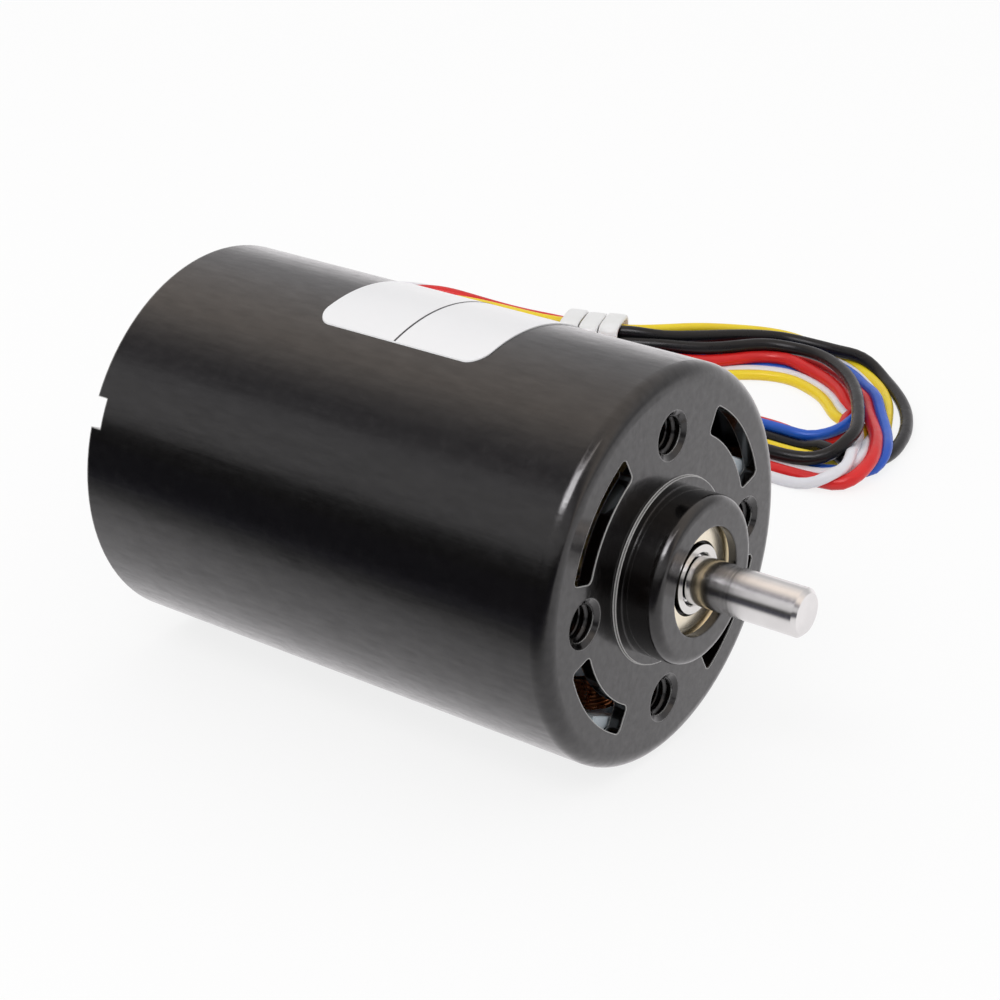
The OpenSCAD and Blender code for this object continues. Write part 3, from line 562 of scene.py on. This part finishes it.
def moves_apart(p, rad, first, second):
    """Moves that take overlapping pairs of points apart."""
    apart = p[first] - p[second]
    gap = np.linalg.norm(apart, axis=1)
    over = rad[first] + rad[second] - gap
    hit = over > 0
    push = apart[hit] * (over[hit] * 0.5 / np.maximum(gap[hit], 1e-6))[:, None]
    move, hits = np.zeros_like(p), np.zeros(len(p))
    for ends, way in ((first[hit], 1), (second[hit], -1)):
        np.add.at(move, ends, way * push)
        np.add.at(hits, ends, 1)
    return PUSH * move / np.maximum(hits, 1)[:, None]


def settle(lines, radii):
    """Moves the strands apart where they overlap, and down on to the floor."""
    counts = [len(line) for line in lines]
    start = np.r_[0, np.cumsum(counts)]
    p = np.concatenate(lines)
    home = p.copy()
    rad = np.repeat(radii, counts)
    which = np.repeat(np.arange(len(lines)), counts)
    order = np.concatenate([np.arange(n) for n in counts])
    held = order < FREE_COUNT
    ends = np.zeros(len(p), bool)
    ends[start[:-1]] = ends[start[1:] - 1] = True
    for step in range(SETTLE_ROUNDS):
        if step % SEARCH_EVERY == 0:
            first, second = close_pairs(p, rad, which, order)
        q = p.copy()
        q[1:-1] += SMOOTH * off_middle(p)
        q[ends] = p[ends]
        back = q.copy()
        back[1:-1] -= UNSMOOTH * off_middle(q)
        back[ends] = q[ends]
        q = back + HOLD * (home - back)
        q[:, 2] -= FALL
        q += moves_apart(q, rad, first, second)
        q[:, 2] = np.maximum(q[:, 2], FLOOR + rad)
        q[held] = home[held]
        p = q
    return [p[start[i]:start[i + 1]] for i in range(len(lines))]


def paint_lead(colour, base, other, rough, under=0.0, spec=0.5):
    p = Paint(colour + "_insulation_paint", base, rough, spec=spec)
    if under:
        p.under(under, (0.0007, 0.0006, 0.0005))
    p.vary_color(p.noise(160, 4, 0.55), other)
    p.vary_rough(p.noise(700, 3, 0.5), rough - 0.07, rough + 0.09)
    p.bump(p.noise(500, 2, 0.5), 0.12, 0.00012)
    p.bump(p.noise(4000, 3, 0.6), 0.12, 0.00002)
    return p.mat


LEAD_PAINT = {
    "yellow": paint_lead("yellow", (1.0, 0.77, 0.022), (0.96, 0.68, 0.014), 0.36, 0.1),
    "black": paint_lead("black", (0.005, 0.005, 0.006), (0.010, 0.010, 0.011), 0.30, spec=0.3),
    "red": paint_lead("red", (0.78, 0.014, 0.014), (0.66, 0.009, 0.010), 0.36, 0.08),
    "white": paint_lead("white", (0.88, 0.87, 0.91), (0.82, 0.81, 0.86), 0.40, 0.12),
    "blue": paint_lead("blue", (0.012, 0.12, 0.64), (0.009, 0.09, 0.54), 0.36, 0.05),
}


def paint_tin():
    p = Paint("tinned_strands", (0.66, 0.66, 0.65), 0.3, metal=1.0)
    p.vary_color(p.noise(900, 3), (0.5, 0.5, 0.49))
    p.vary_rough(p.noise(1500, 3), 0.2, 0.42)
    p.bump(p.noise(2500, 3), 0.3, 0.00003)
    return p.mat


TIN = paint_tin()
# Bare end: how deep it starts in the insulation, its whole length, and its twist in radians
TIP_SUNK, TIP_LEN, TIP_TWIST, TIP_STEPS = 1.2, 5.2, 3.0, 12
# Strands as shares of the insulation's radius: their own radius, and how far out six of them lie
STRAND_R, STRAND_OUT, STRAND_END = 0.2, 0.4, 0.55
SIXTHS = [i * math.pi / 3 for i in range(6)]


def make_tip(colour, end, ahead, radius):
    """Bare end of a lead: twisted tinned strands out of the cut insulation."""
    side = np.cross(ahead, [0, 0, 1.0])
    side /= np.linalg.norm(side)
    up = np.cross(side, ahead)

    def out(r, turn):
        return r * (side * math.cos(turn) + up * math.sin(turn))

    strands = []
    for away, first_turn in [(0.0, 0.0)] + [(radius * STRAND_OUT, a) for a in SIXTHS]:
        sections = []
        for k in range(TIP_STEPS + 1):
            s = k / TIP_STEPS
            middle = end + ahead * (s * TIP_LEN - TIP_SUNK) * MM + out(away, first_turn + s * TIP_TWIST)
            thin = radius * STRAND_R * (STRAND_END if k == TIP_STEPS else 1.0)
            sections.append([middle + out(thin, a) for a in SIXTHS])
        strands.append(sections)
    return new_mesh("lead_tip_" + colour, *join_rings(strands), TIN)


def make_leads():
    colours = list(LEADS)
    radii = [LEADS[c][0] / 2 for c in colours]
    lines = settle([lay_lead(c) for c in colours], radii)
    for colour, radius, line in zip(colours, radii, lines):
        line = spaced(line, LEAD_STEP) * MM
        data = bpy.data.curves.new("lead_wire_" + colour, "CURVE")
        data.dimensions = "3D"
        data.bevel_depth = radius * MM
        data.bevel_resolution = 4
        data.use_fill_caps = True
        spline = data.splines.new("POLY")
        spline.points.add(len(line) - 1)
        spline.points.foreach_set("co", np.c_[line, np.ones(len(line))].ravel())
        spline.use_smooth = True
        data.materials.append(LEAD_PAINT[colour])
        lead = bpy.data.objects.new("lead_wire_" + colour, data)
        scene.collection.objects.link(lead)
        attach(lead, "housing")
        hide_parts("lead_" + colour, "lead_coil")
        ahead = line[-1] - line[-4]
        tip = make_tip(colour, line[-1], ahead / np.linalg.norm(ahead), radius * MM)
    return lines


lead_lines = make_leads()


# Tie: three bands round the bundle, joined underneath

TIE_X, TIE_Y, TIE_TURN = -68.0, 85.0, 20.0
TIE_PITCH, TIE_W, TIE_T = 3.0, 2.74, 0.55
# A band goes round the leads whose middle lines pass this near its own middle, along and across
NEAR_ALONG, NEAR_ACROSS = 1.4, 8
# Room between a band and the middle line of the outermost lead
TIE_ROOM = 0.95
# The band's way round the bundle is a rounded square
TIE_STEPS, TIE_SQUARE = 40, 2 / 5.0
# Section of a band, as shares of its width and thickness
TIE_SECTION = (
    (-0.5, 0.0), (-0.5, 0.75), (-0.42, 1.0), (0.0, 1.08), (0.42, 1.0), (0.5, 0.75), (0.5, 0.0),
)


def paint_tie():
    p = Paint("tie_white", (0.95, 0.95, 0.95), 0.34)
    p.under(0.1, (0.0006, 0.0006, 0.0006))
    p.vary_color(p.noise(300, 3), (0.91, 0.91, 0.90))
    p.vary_rough(p.noise(900, 3), 0.28, 0.42)
    p.bump(p.noise(1600, 3), 0.15, 0.00004)
    return p.mat


def tie_band(every, place):
    """Rings of one band, place bands along from the middle one."""
    c, s = math.cos(math.radians(TIE_TURN)), math.sin(math.radians(TIE_TURN))
    x0, y0 = TIE_X + c * place * TIE_PITCH, TIE_Y + s * place * TIE_PITCH
    x, y = every[:, 0] - x0, every[:, 1] - y0
    near = (np.abs(x * c + y * s) < NEAR_ALONG) & (np.abs(y) < NEAR_ACROSS)
    across = y[near] * c - x[near] * s
    low, high = across.min() - TIE_ROOM, across.max() + TIE_ROOM
    top = every[near, 2].max() + TIE_ROOM
    middle, half = (low + high) / 2, (high - low) / 2
    base = FLOOR + TIE_T
    rise = (top - base) / 2
    sections = []
    for k in range(TIE_STEPS):
        a = 2 * math.pi * k / TIE_STEPS
        u, v = (math.copysign(abs(way) ** TIE_SQUARE, way) for way in (math.cos(a), math.sin(a)))
        ring = []
        for wide, out in TIE_SECTION:
            along = wide * TIE_W
            du, dv = u * (half + out * TIE_T), v * (rise + out * TIE_T)
            ring.append((
                (x0 + c * along - s * (middle + du)) * MM,
                (y0 + s * along + c * (middle + du)) * MM,
                max(base + rise + dv, FLOOR) * MM,
            ))
        sections.append(ring)
    return sections


def make_tie():
    every = np.concatenate(lead_lines)
    points, faces = join_rings([tie_band(every, place) for place in (-1, 0, 1)], loop=True)
    tie = new_mesh("tie_bands", points, faces, paint_tie(), slot="tie_plastic")
    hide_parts("lead_tie")


make_tie()


# Finishes of the parts that stay

def paint_label():
    p = Paint("label_film_paint", (0.95, 0.95, 0.96), 0.34, coat=0.3, coat_rough=0.12)
    p.vary_color(p.noise(90, 3), (0.93, 0.93, 0.945))
    p.vary_rough(p.noise(500, 3), 0.28, 0.4)
    p.bump(p.noise(1500, 3), 0.06, 0.00002)
    return p.mat


def paint_copper():
    p = Paint("enamelled_copper", (0.64, 0.23, 0.08), 0.28, metal=0.85, coat=0.6, coat_rough=0.12)
    p.vary_color(p.noise(400, 4), (0.48, 0.15, 0.05))
    p.vary_rough(p.noise(900, 3), 0.2, 0.36)
    p.bump(p.noise(2500, 2), 0.2, 0.00004)
    return p.mat


THREAD_PAINT = paint_can("thread_black_paint")
COPPER = paint_copper()
TEETH, MAGNETS = 9, 6
# Radii in mm where shade is painted on the inner ring and the shields at their edges, in the gaps between
# the parts: full, then none
INNER_RING_PAINTED_SHADE, SHIELD_PAINTED_SHADE = ((3.60, 3.57), (2.66, 2.70)), ((3.66, 3.72),)
# Stretch that lays the grain round the shaft, for a stack of sheets and for turned metal
SHEETS, TURNED = (5, 0.05, 0.05), (5, 0.1, 0.1)


def dress_outside():
    # The can's edges get a painted highlight
    dress(paint_can("can_black_paint", edge_highlight=CAN_EDGE_HIGHLIGHT), "motor_can")
    dress(paint_label(), "label")
    dress(
        paint_metal("cover_cast", (0.60, 0.61, 0.63), 0.42, other=(0.55, 0.56, 0.58), wear=0.1, depth=0.35),
        "rear_cover",
    )
    dress(
        paint_plastic("grommet_rubber_paint", (0.014, 0.014, 0.014), 0.6, grain=2000, depth=0.25),
        "lead_grommet",
    )


def dress_shaft_and_bearings():
    dress(
        paint_turned("shaft_ground_steel", (0.84, 0.83, 0.82), 0.17, scale=7000, wear=0.05, depth=0.03),
        "shaft",
    )
    dress(
        paint_turned("inner_ring_steel", (0.78, 0.77, 0.74), 0.2, dark=INNER_RING_PAINTED_SHADE),
        *both("bearing_inner_ring"),
    )
    dress(paint_turned("outer_ring_steel", (0.62, 0.61, 0.59), 0.2), *both("bearing_outer_ring"))
    shield, shield_other = (0.92, 0.85, 0.69), (0.89, 0.81, 0.64)
    dress(
        paint_turned("shield_pressed_steel", shield, 0.24, other=shield_other, scale=5000, dark=SHIELD_PAINTED_SHADE),
        *both("bearing_shields"),
    )
    dress(
        paint_metal("ball_steel", (0.8, 0.8, 0.8), 0.08, grain=3000, wear=0.02, depth=0.02),
        *both("bearing_balls"),
    )
    dress(paint_plastic("cage_nylon", (0.62, 0.52, 0.34), 0.5), *both("bearing_cage"))
    dress(
        paint_metal("spring_rolled", (0.55, 0.55, 0.57), 0.3, grain=1500, wear=0.1, depth=0.1),
        "wave_washer",
    )


def dress_stator():
    sheet = (0.40, 0.41, 0.43)
    dress(
        paint_metal("stack_sheets", sheet, 0.38, grain=1800, stretch=SHEETS, wear=0.12, depth=0.6),
        "stator_core",
    )
    dress(
        paint_plastic("insulator_nylon", (0.82, 0.91, 1.0), 0.38, other=(0.76, 0.86, 0.96), under=0.1),
        *both("insulator"),
    )
    dress(COPPER, *numbered("winding", TEETH))


def dress_rotor():
    dress(
        paint_metal("core_turned", (0.34, 0.35, 0.37), 0.4, grain=1500, stretch=TURNED, wear=0.1, depth=0.3),
        "rotor_core",
    )
    dress(
        paint_metal("magnet_ground", (0.13, 0.13, 0.14), 0.45, grain=1200, wear=0.1, depth=0.3),
        *numbered("rotor_magnet", MAGNETS),
    )
    dress(
        paint_metal("balance_brass_turned", (0.72, 0.52, 0.20), 0.3, grain=1500, wear=0.08, depth=0.2),
        *both("balance_ring"),
    )
    dress(
        paint_metal("sleeve_turned", (0.6, 0.6, 0.61), 0.3, grain=1500, stretch=TURNED, wear=0.1, depth=0.2),
        *both("spacer"),
    )


def dress_driver():
    dress(
        paint_plastic("board_mask", (0.01, 0.13, 0.035), 0.3, other=(0.008, 0.10, 0.028), coat=0.4),
        "driver_board",
    )
    dress(
        paint_metal("screw_zinc", (0.66, 0.67, 0.66), 0.3, grain=1500, wear=0.1, depth=0.2),
        "board_screws",
    )
    dress(
        paint_plastic("chip_resin_paint", (0.02, 0.02, 0.02), 0.55, grain=2500, depth=0.2),
        "position_sensors", "power_transistors", "control_chip",
    )
    dress(paint_metal("capacitor_drawn", (0.7, 0.7, 0.72), 0.25, wear=0.06, depth=0.1), "capacitors")


dress_outside()
dress_shaft_and_bearings()
dress_stator()
dress_rotor()
dress_driver()


# Three fingers on the front insulator that reach up to the face; they show through the vents

FINGER_TURNS = (0, 108, 221)
# Outline in y and z, and from where to where along the shaft
FINGER_TAB = [(15.9, 3.1), (17.8, 3.9), (17.4, 5.2), (14.0, 7.1)], -3.0, -1.8
FINGER_POST = [(17.45, 3.8), (18.05, 3.95), (17.6, 5.25), (17.0, 5.1)], -6.7, -1.95
# The chamfer at the top: its height, and the share of the outline that it leaves
FINGER_CHAMFER, FINGER_TOP = 0.12, 0.9


def finger_part(turn, outline, low, high):
    c, s = math.cos(math.radians(turn)), math.sin(math.radians(turn))
    mid_y = sum(y for y, z in outline) / len(outline)
    mid_z = sum(z for y, z in outline) / len(outline)
    sections = []
    for x, kept in ((low, 1.0), (high - FINGER_CHAMFER, 1.0), (high, FINGER_TOP)):
        ring = []
        for y, z in outline:
            y, z = mid_y + (y - mid_y) * kept, mid_z + (z - mid_z) * kept
            ring.append((x * MM, (y * c - z * s) * MM, (y * s + z * c) * MM))
        sections.append(ring)
    return sections


def make_fingers():
    # Painted light: the fingers are the insulator's nylon, painted lighter for the light they catch through
    # the vents
    mat = paint_plastic("finger_nylon_painted_lighter", (0.86, 0.94, 1.0), 0.3, other=(0.80, 0.89, 0.98), under=0.1)
    parts = [finger_part(turn, *part) for turn in FINGER_TURNS for part in (FINGER_TAB, FINGER_POST)]
    new_mesh("insulator_fingers", *join_rings(parts), mat, smooth=False, slot="insulator_plastic")


make_fingers()


# Turns of wire over the windings' blocks

STACK_MID, COIL_HALF_LEN, COIL_CORNER = -26.0, 19.6, 3.0
COIL_IN_R, COIL_OUT_R, COIL_WEDGE = 13.3, 17.7, math.radians(18)
WIRE_R, WIRE_SUNK, TURN_COUNT = 0.235, 0.12, 9
# The innermost turn lies this far out, and all turns together take this much less than the block
TURN_INSET, TURN_LESS = 0.2, 0.45
CORNER_STEPS = 8


def turn_outline(r):
    """Middle line of one turn at distance r from the shaft: along the shaft, across the tooth."""
    half = COIL_OUT_R * math.sin(COIL_WEDGE)
    most = min(half, r * math.tan(COIL_WEDGE), math.sqrt(COIL_OUT_R ** 2 - r * r)) - WIRE_SUNK
    reach = COIL_CORNER - WIRE_SUNK
    line = []
    for way_x, way_t, first in ((1, 1, 0), (-1, 1, 90), (-1, -1, 180), (1, -1, 270)):
        for k in range(CORNER_STEPS + 1):
            a = math.radians(first + k * 90 / CORNER_STEPS)
            along = way_x * (COIL_HALF_LEN - COIL_CORNER) + reach * math.cos(a)
            across = way_t * (half - COIL_CORNER) + reach * math.sin(a)
            line.append((along, max(-most, min(most, across))))
    return line


def wire_rings(r, turn):
    """Rings of one turn of wire at distance r from the shaft, on the tooth at the given angle."""
    ahead, side = (math.cos(turn), math.sin(turn)), (-math.sin(turn), math.cos(turn))
    line = turn_outline(r)
    sections = []
    for j, (x, t) in enumerate(line):
        back, front = line[j - 1], line[(j + 1) % len(line)]
        dx, dt = front[0] - back[0], front[1] - back[1]
        size = math.hypot(dx, dt) or 1
        out = (dt / size, -dx / size)
        ring = []
        for a in SIXTHS:
            away, up = WIRE_R * math.cos(a), WIRE_R * math.sin(a)
            tt, rr = t + out[1] * away, r + up
            ring.append((
                (STACK_MID + x + out[0] * away) * MM,
                (ahead[0] * rr + side[0] * tt) * MM,
                (ahead[1] * rr + side[1] * tt) * MM,
            ))
        sections.append(ring)
    return sections


def make_turns(i):
    turn = math.radians(360 / TEETH * i)
    step = (COIL_OUT_R - COIL_IN_R - TURN_LESS) / (TURN_COUNT - 1)
    wires = [wire_rings(COIL_IN_R + TURN_INSET + k * step, turn) for k in range(TURN_COUNT)]
    new_mesh("winding_turns_%d" % i, *join_rings(wires, loop=True), COPPER, slot="copper")


for i in range(1, TEETH + 1):
    make_turns(i)


# Threads in the four screw holes

BOLT_CIRCLE_R, BOLT_COUNT = 14.5, 4
THREAD_PITCH, THREAD_FROM, THREAD_TO, THREAD_STEPS = 0.7, -0.62, -3.1, 36
THREAD_ROOT_R, THREAD_BORE_R, THREAD_DEPTH = 2.03, 2.02, 0.34
ROOT_HALF_W, CREST_HALF_W = 0.30, 0.05
# At each end the thread grows to its depth in this part of a turn
THREAD_GROWS = 1 / 4


def make_thread(i):
    turn = math.radians(360 / BOLT_COUNT * i)
    y0, z0 = BOLT_CIRCLE_R * math.cos(turn), BOLT_CIRCLE_R * math.sin(turn)
    total = int((THREAD_FROM - THREAD_TO) / THREAD_PITCH * THREAD_STEPS)
    sections = []
    for k in range(total + 1):
        a = 2 * math.pi * k / THREAD_STEPS
        x = THREAD_FROM - THREAD_PITCH * k / THREAD_STEPS
        grown = min(1.0, min(k, total - k) / THREAD_STEPS / THREAD_GROWS)
        crest = THREAD_BORE_R - THREAD_DEPTH * grown
        root = THREAD_ROOT_R
        outline = ((ROOT_HALF_W, root), (CREST_HALF_W, crest), (-CREST_HALF_W, crest), (-ROOT_HALF_W, root))
        sections.append([
            ((x + dx) * MM, (y0 + r * math.cos(a)) * MM, (z0 + r * math.sin(a)) * MM) for dx, r in outline
        ])
    points, faces = rings(sections)
    new_mesh("screw_thread_%d" % (i + 1), points, faces, THREAD_PAINT, smooth=False, slot="can_paint")


for i in range(BOLT_COUNT):
    make_thread(i)


# Thin line across the middle of the label

LABEL_R, LABEL_MID, LABEL_FROM, LABEL_TO = 21.12, -28.8, 33.0, 109.6
LINE_HALF_W, LINE_HALF_T, LINE_STEPS = 0.11, 0.02, 60


def paint_line():
    p = Paint("label_line_ink", (0.03, 0.03, 0.035), 0.45)
    p.vary_color(p.noise(900, 3), (0.07, 0.07, 0.075))
    p.vary_rough(p.noise(900, 2), 0.4, 0.55)
    return p.mat


def make_divider():
    w, low, high = LINE_HALF_W, LABEL_R - LINE_HALF_T, LABEL_R + LINE_HALF_T
    sections = []
    for k in range(LINE_STEPS + 1):
        a = math.radians(LABEL_FROM + (LABEL_TO - LABEL_FROM) * k / LINE_STEPS)
        sections.append([
            ((LABEL_MID + dx) * MM, r * MM * math.cos(a), r * MM * math.sin(a))
            for dx, r in ((-w, low), (-w, high), (w, high), (w, low))
        ])
    points, faces = rings(sections)
    new_mesh("label_divider", points, faces, paint_line(), smooth=False, slot="label_film")


make_divider()


# Light, floor and background

# What a reflection sees, going round the shaft's direction from the near horizon over the top
STUDIO = [
    (0.0, 0.06), (0.03, 0.08), (0.055, 0.16), (0.10, 0.62), (0.14, 0.80), (0.20, 0.80), (0.26, 0.76),
    (0.31, 0.42), (0.345, 0.34), (0.40, 0.52), (0.47, 0.88), (0.53, 1.10), (0.61, 1.12), (0.68, 1.0),
    (0.75, 0.95), (0.81, 0.80), (0.88, 0.72), (0.95, 0.95), (1.0, 1.2),
]
# Level that the ramp's full colour stands for, and the strength of the whole
STUDIO_FULL, STUDIO_TOP = 1.25, 1.03
TINT = (1.01, 0.985, 1.0)
# A warm stretch and a cool one: where, how far they reach, how strong
WARM = (0.55, 0.28, 0.11)
COOL = (0.34, 0.10, 0.08)
SOFT_LIGHT = 0.76
# A small bright window high in front, that only gloss shows: its sides as parts of the direction
# to the sky, each from where it is dark to where it is full
GLINT_TOP = 11.0
GLINT_SIDES = [
    ("x", -0.34, -0.24), ("x", 0.44, 0.34), ("y", -0.04, -0.14), ("z", 0.64, 0.72), ("z", 0.95, 0.88),
]
WHITE = (1, 1, 1, 1)


def studio_stop(at, level):
    warm, cool = (max(0.0, 1 - abs(at - middle) / reach) * most for middle, reach, most in (WARM, COOL))
    red, green, blue = TINT
    return at, [level / STUDIO_FULL * c for c in (red + warm, green, blue - warm + cool)]


def background(tree, strength):
    made = tree.nodes.new("ShaderNodeBackground")
    made.inputs["Color"].default_value = WHITE
    made.inputs["Strength"].default_value = strength
    return made


def make_world():
    world = bpy.data.worlds.new("world")
    scene.world = world
    world.use_nodes = True
    tree = world.node_tree
    tree.nodes.clear()
    coords = tree.nodes.new("ShaderNodeTexCoord")
    parts = tree.nodes.new("ShaderNodeSeparateXYZ")
    tree.links.new(coords.outputs["Generated"], parts.inputs[0])
    sky = dict(zip("xyz", parts.outputs))
    up, near = math_node(tree, "ABSOLUTE", sky["z"]), math_node(tree, "MULTIPLY", sky["y"], -1.0)
    turn = math_node(tree, "DIVIDE", math_node(tree, "ARCTAN2", up, near), math.pi)
    ramp = tree.nodes.new("ShaderNodeValToRGB")
    ramp.color_ramp.interpolation = "EASE"
    fill_ramp(ramp, [studio_stop(at, level) for at, level in STUDIO])
    tree.links.new(turn, ramp.inputs["Fac"])
    glint = GLINT_TOP
    for side, dark, full in GLINT_SIDES:
        glint = math_node(tree, "MULTIPLY", range_node(tree, sky[side], dark, full), glint)
    studio = background(tree, STUDIO_TOP)
    tree.links.new(math_node(tree, "ADD", glint, STUDIO_TOP), studio.inputs["Strength"])
    tree.links.new(ramp.outputs["Color"], studio.inputs["Color"])
    soft, white = background(tree, SOFT_LIGHT), background(tree, 1.0)
    path = tree.nodes.new("ShaderNodeLightPath")
    light = mix_shaders(tree, mirrored_ray(tree, path), soft.outputs[0], studio.outputs[0])
    whole = mix_shaders(tree, path.outputs["Is Camera Ray"], light, white.outputs[0])
    out = tree.nodes.new("ShaderNodeOutputWorld")
    tree.links.new(whole, out.inputs["Surface"])


# Brightness of the white floor in reflections, by y in metres: it ends in front of the object
FLOOR_NEAR = [
    (-0.100, 0.07), (-0.075, 0.14), (-0.058, 0.30), (-0.046, 0.68), (-0.034, 0.92), (0.0, 0.98), (0.06, 1.1),
]
FLOOR_FULL = 1.1
FLOOR_GLOW = 0.90
# Below this level the floor's glow turns cool
FLOOR_DIM, FLOOR_COOL = 0.2, 0.15
FLOOR_WHITE = 1.05
FLOOR_KEEPS_SHADOW = 0.22
# Half of the floor's side in metres, and how far it lies below the can
FLOOR_HALF, FLOOR_DROP = 6.0, 0.00002


def floor_stop(at, level):
    low, high = FLOOR_NEAR[0][0], FLOOR_NEAR[-1][0]
    cool = FLOOR_COOL if level < FLOOR_DIM else 0.0
    red, green, blue = TINT
    color = [level / FLOOR_FULL * c for c in (red - cool / 3, green - cool / 3, blue + cool)]
    return (at - low) / (high - low), color


def paint_floor():
    """White to the eye but for part of its shadow, and a glow of its own to a gloss."""
    p = Paint("floor_paint", (0.86, 0.86, 0.86), 0.6, spec=0.2)
    parts = p.node("ShaderNodeSeparateXYZ")
    p.link(p.place(), parts.inputs[0])
    ramp = p.node("ShaderNodeValToRGB")
    fill_ramp(ramp, [floor_stop(at, level) for at, level in FLOOR_NEAR])
    p.link(p.spread(parts.outputs[1], 0, 1, FLOOR_NEAR[0][0], FLOOR_NEAR[-1][0]), ramp.inputs["Fac"])
    glow = p.node("ShaderNodeEmission", Strength=FLOOR_FULL * FLOOR_GLOW)
    p.link(ramp.outputs["Color"], glow.inputs["Color"])
    white = p.node("ShaderNodeEmission", Strength=FLOOR_WHITE)
    path = p.node("ShaderNodeLightPath")
    seen = math_node(p.tree, "MULTIPLY", path.outputs["Is Camera Ray"], 1 - FLOOR_KEEPS_SHADOW)
    by_eye = mix_shaders(p.tree, seen, p.bsdf.outputs[0], white.outputs[0])
    whole = mix_shaders(p.tree, mirrored_ray(p.tree, path), by_eye, glow.outputs[0])
    p.link(whole, p.tree.nodes["Material Output"].inputs["Surface"])
    return p.mat


def make_floor():
    mesh = bpy.data.meshes.new("floor")
    r, z = FLOOR_HALF, FLOOR * MM - FLOOR_DROP
    mesh.from_pydata([(-r, -r, z), (r, -r, z), (r, r, z), (-r, r, z)], [], [(0, 1, 2, 3)])
    mesh.materials.append(paint_floor())
    floor = bpy.data.objects.new("floor", mesh)
    scene.collection.objects.link(floor)


# Lamp in front and above: its place and aim in metres, its size and the brightness of its face
KEY_AT, KEY_AIM = (0.064, -0.454, 0.655), (-0.02, 0.01, 0)
KEY_SIZE, KEY_LEVEL = (0.40, 0.25), 4.0


def make_key():
    data = bpy.data.lights.new("key", "AREA")
    data.shape = "RECTANGLE"
    data.size, data.size_y = KEY_SIZE
    data.energy = KEY_LEVEL * math.pi * KEY_SIZE[0] * KEY_SIZE[1]
    lamp = bpy.data.objects.new("key", data)
    scene.collection.objects.link(lamp)
    lamp.location = KEY_AT
    lamp.rotation_euler = (Vector(KEY_AIM) - Vector(KEY_AT)).to_track_quat("-Z", "Y").to_euler()


make_world()
make_floor()
make_key()

scene.view_settings.view_transform = "Standard"
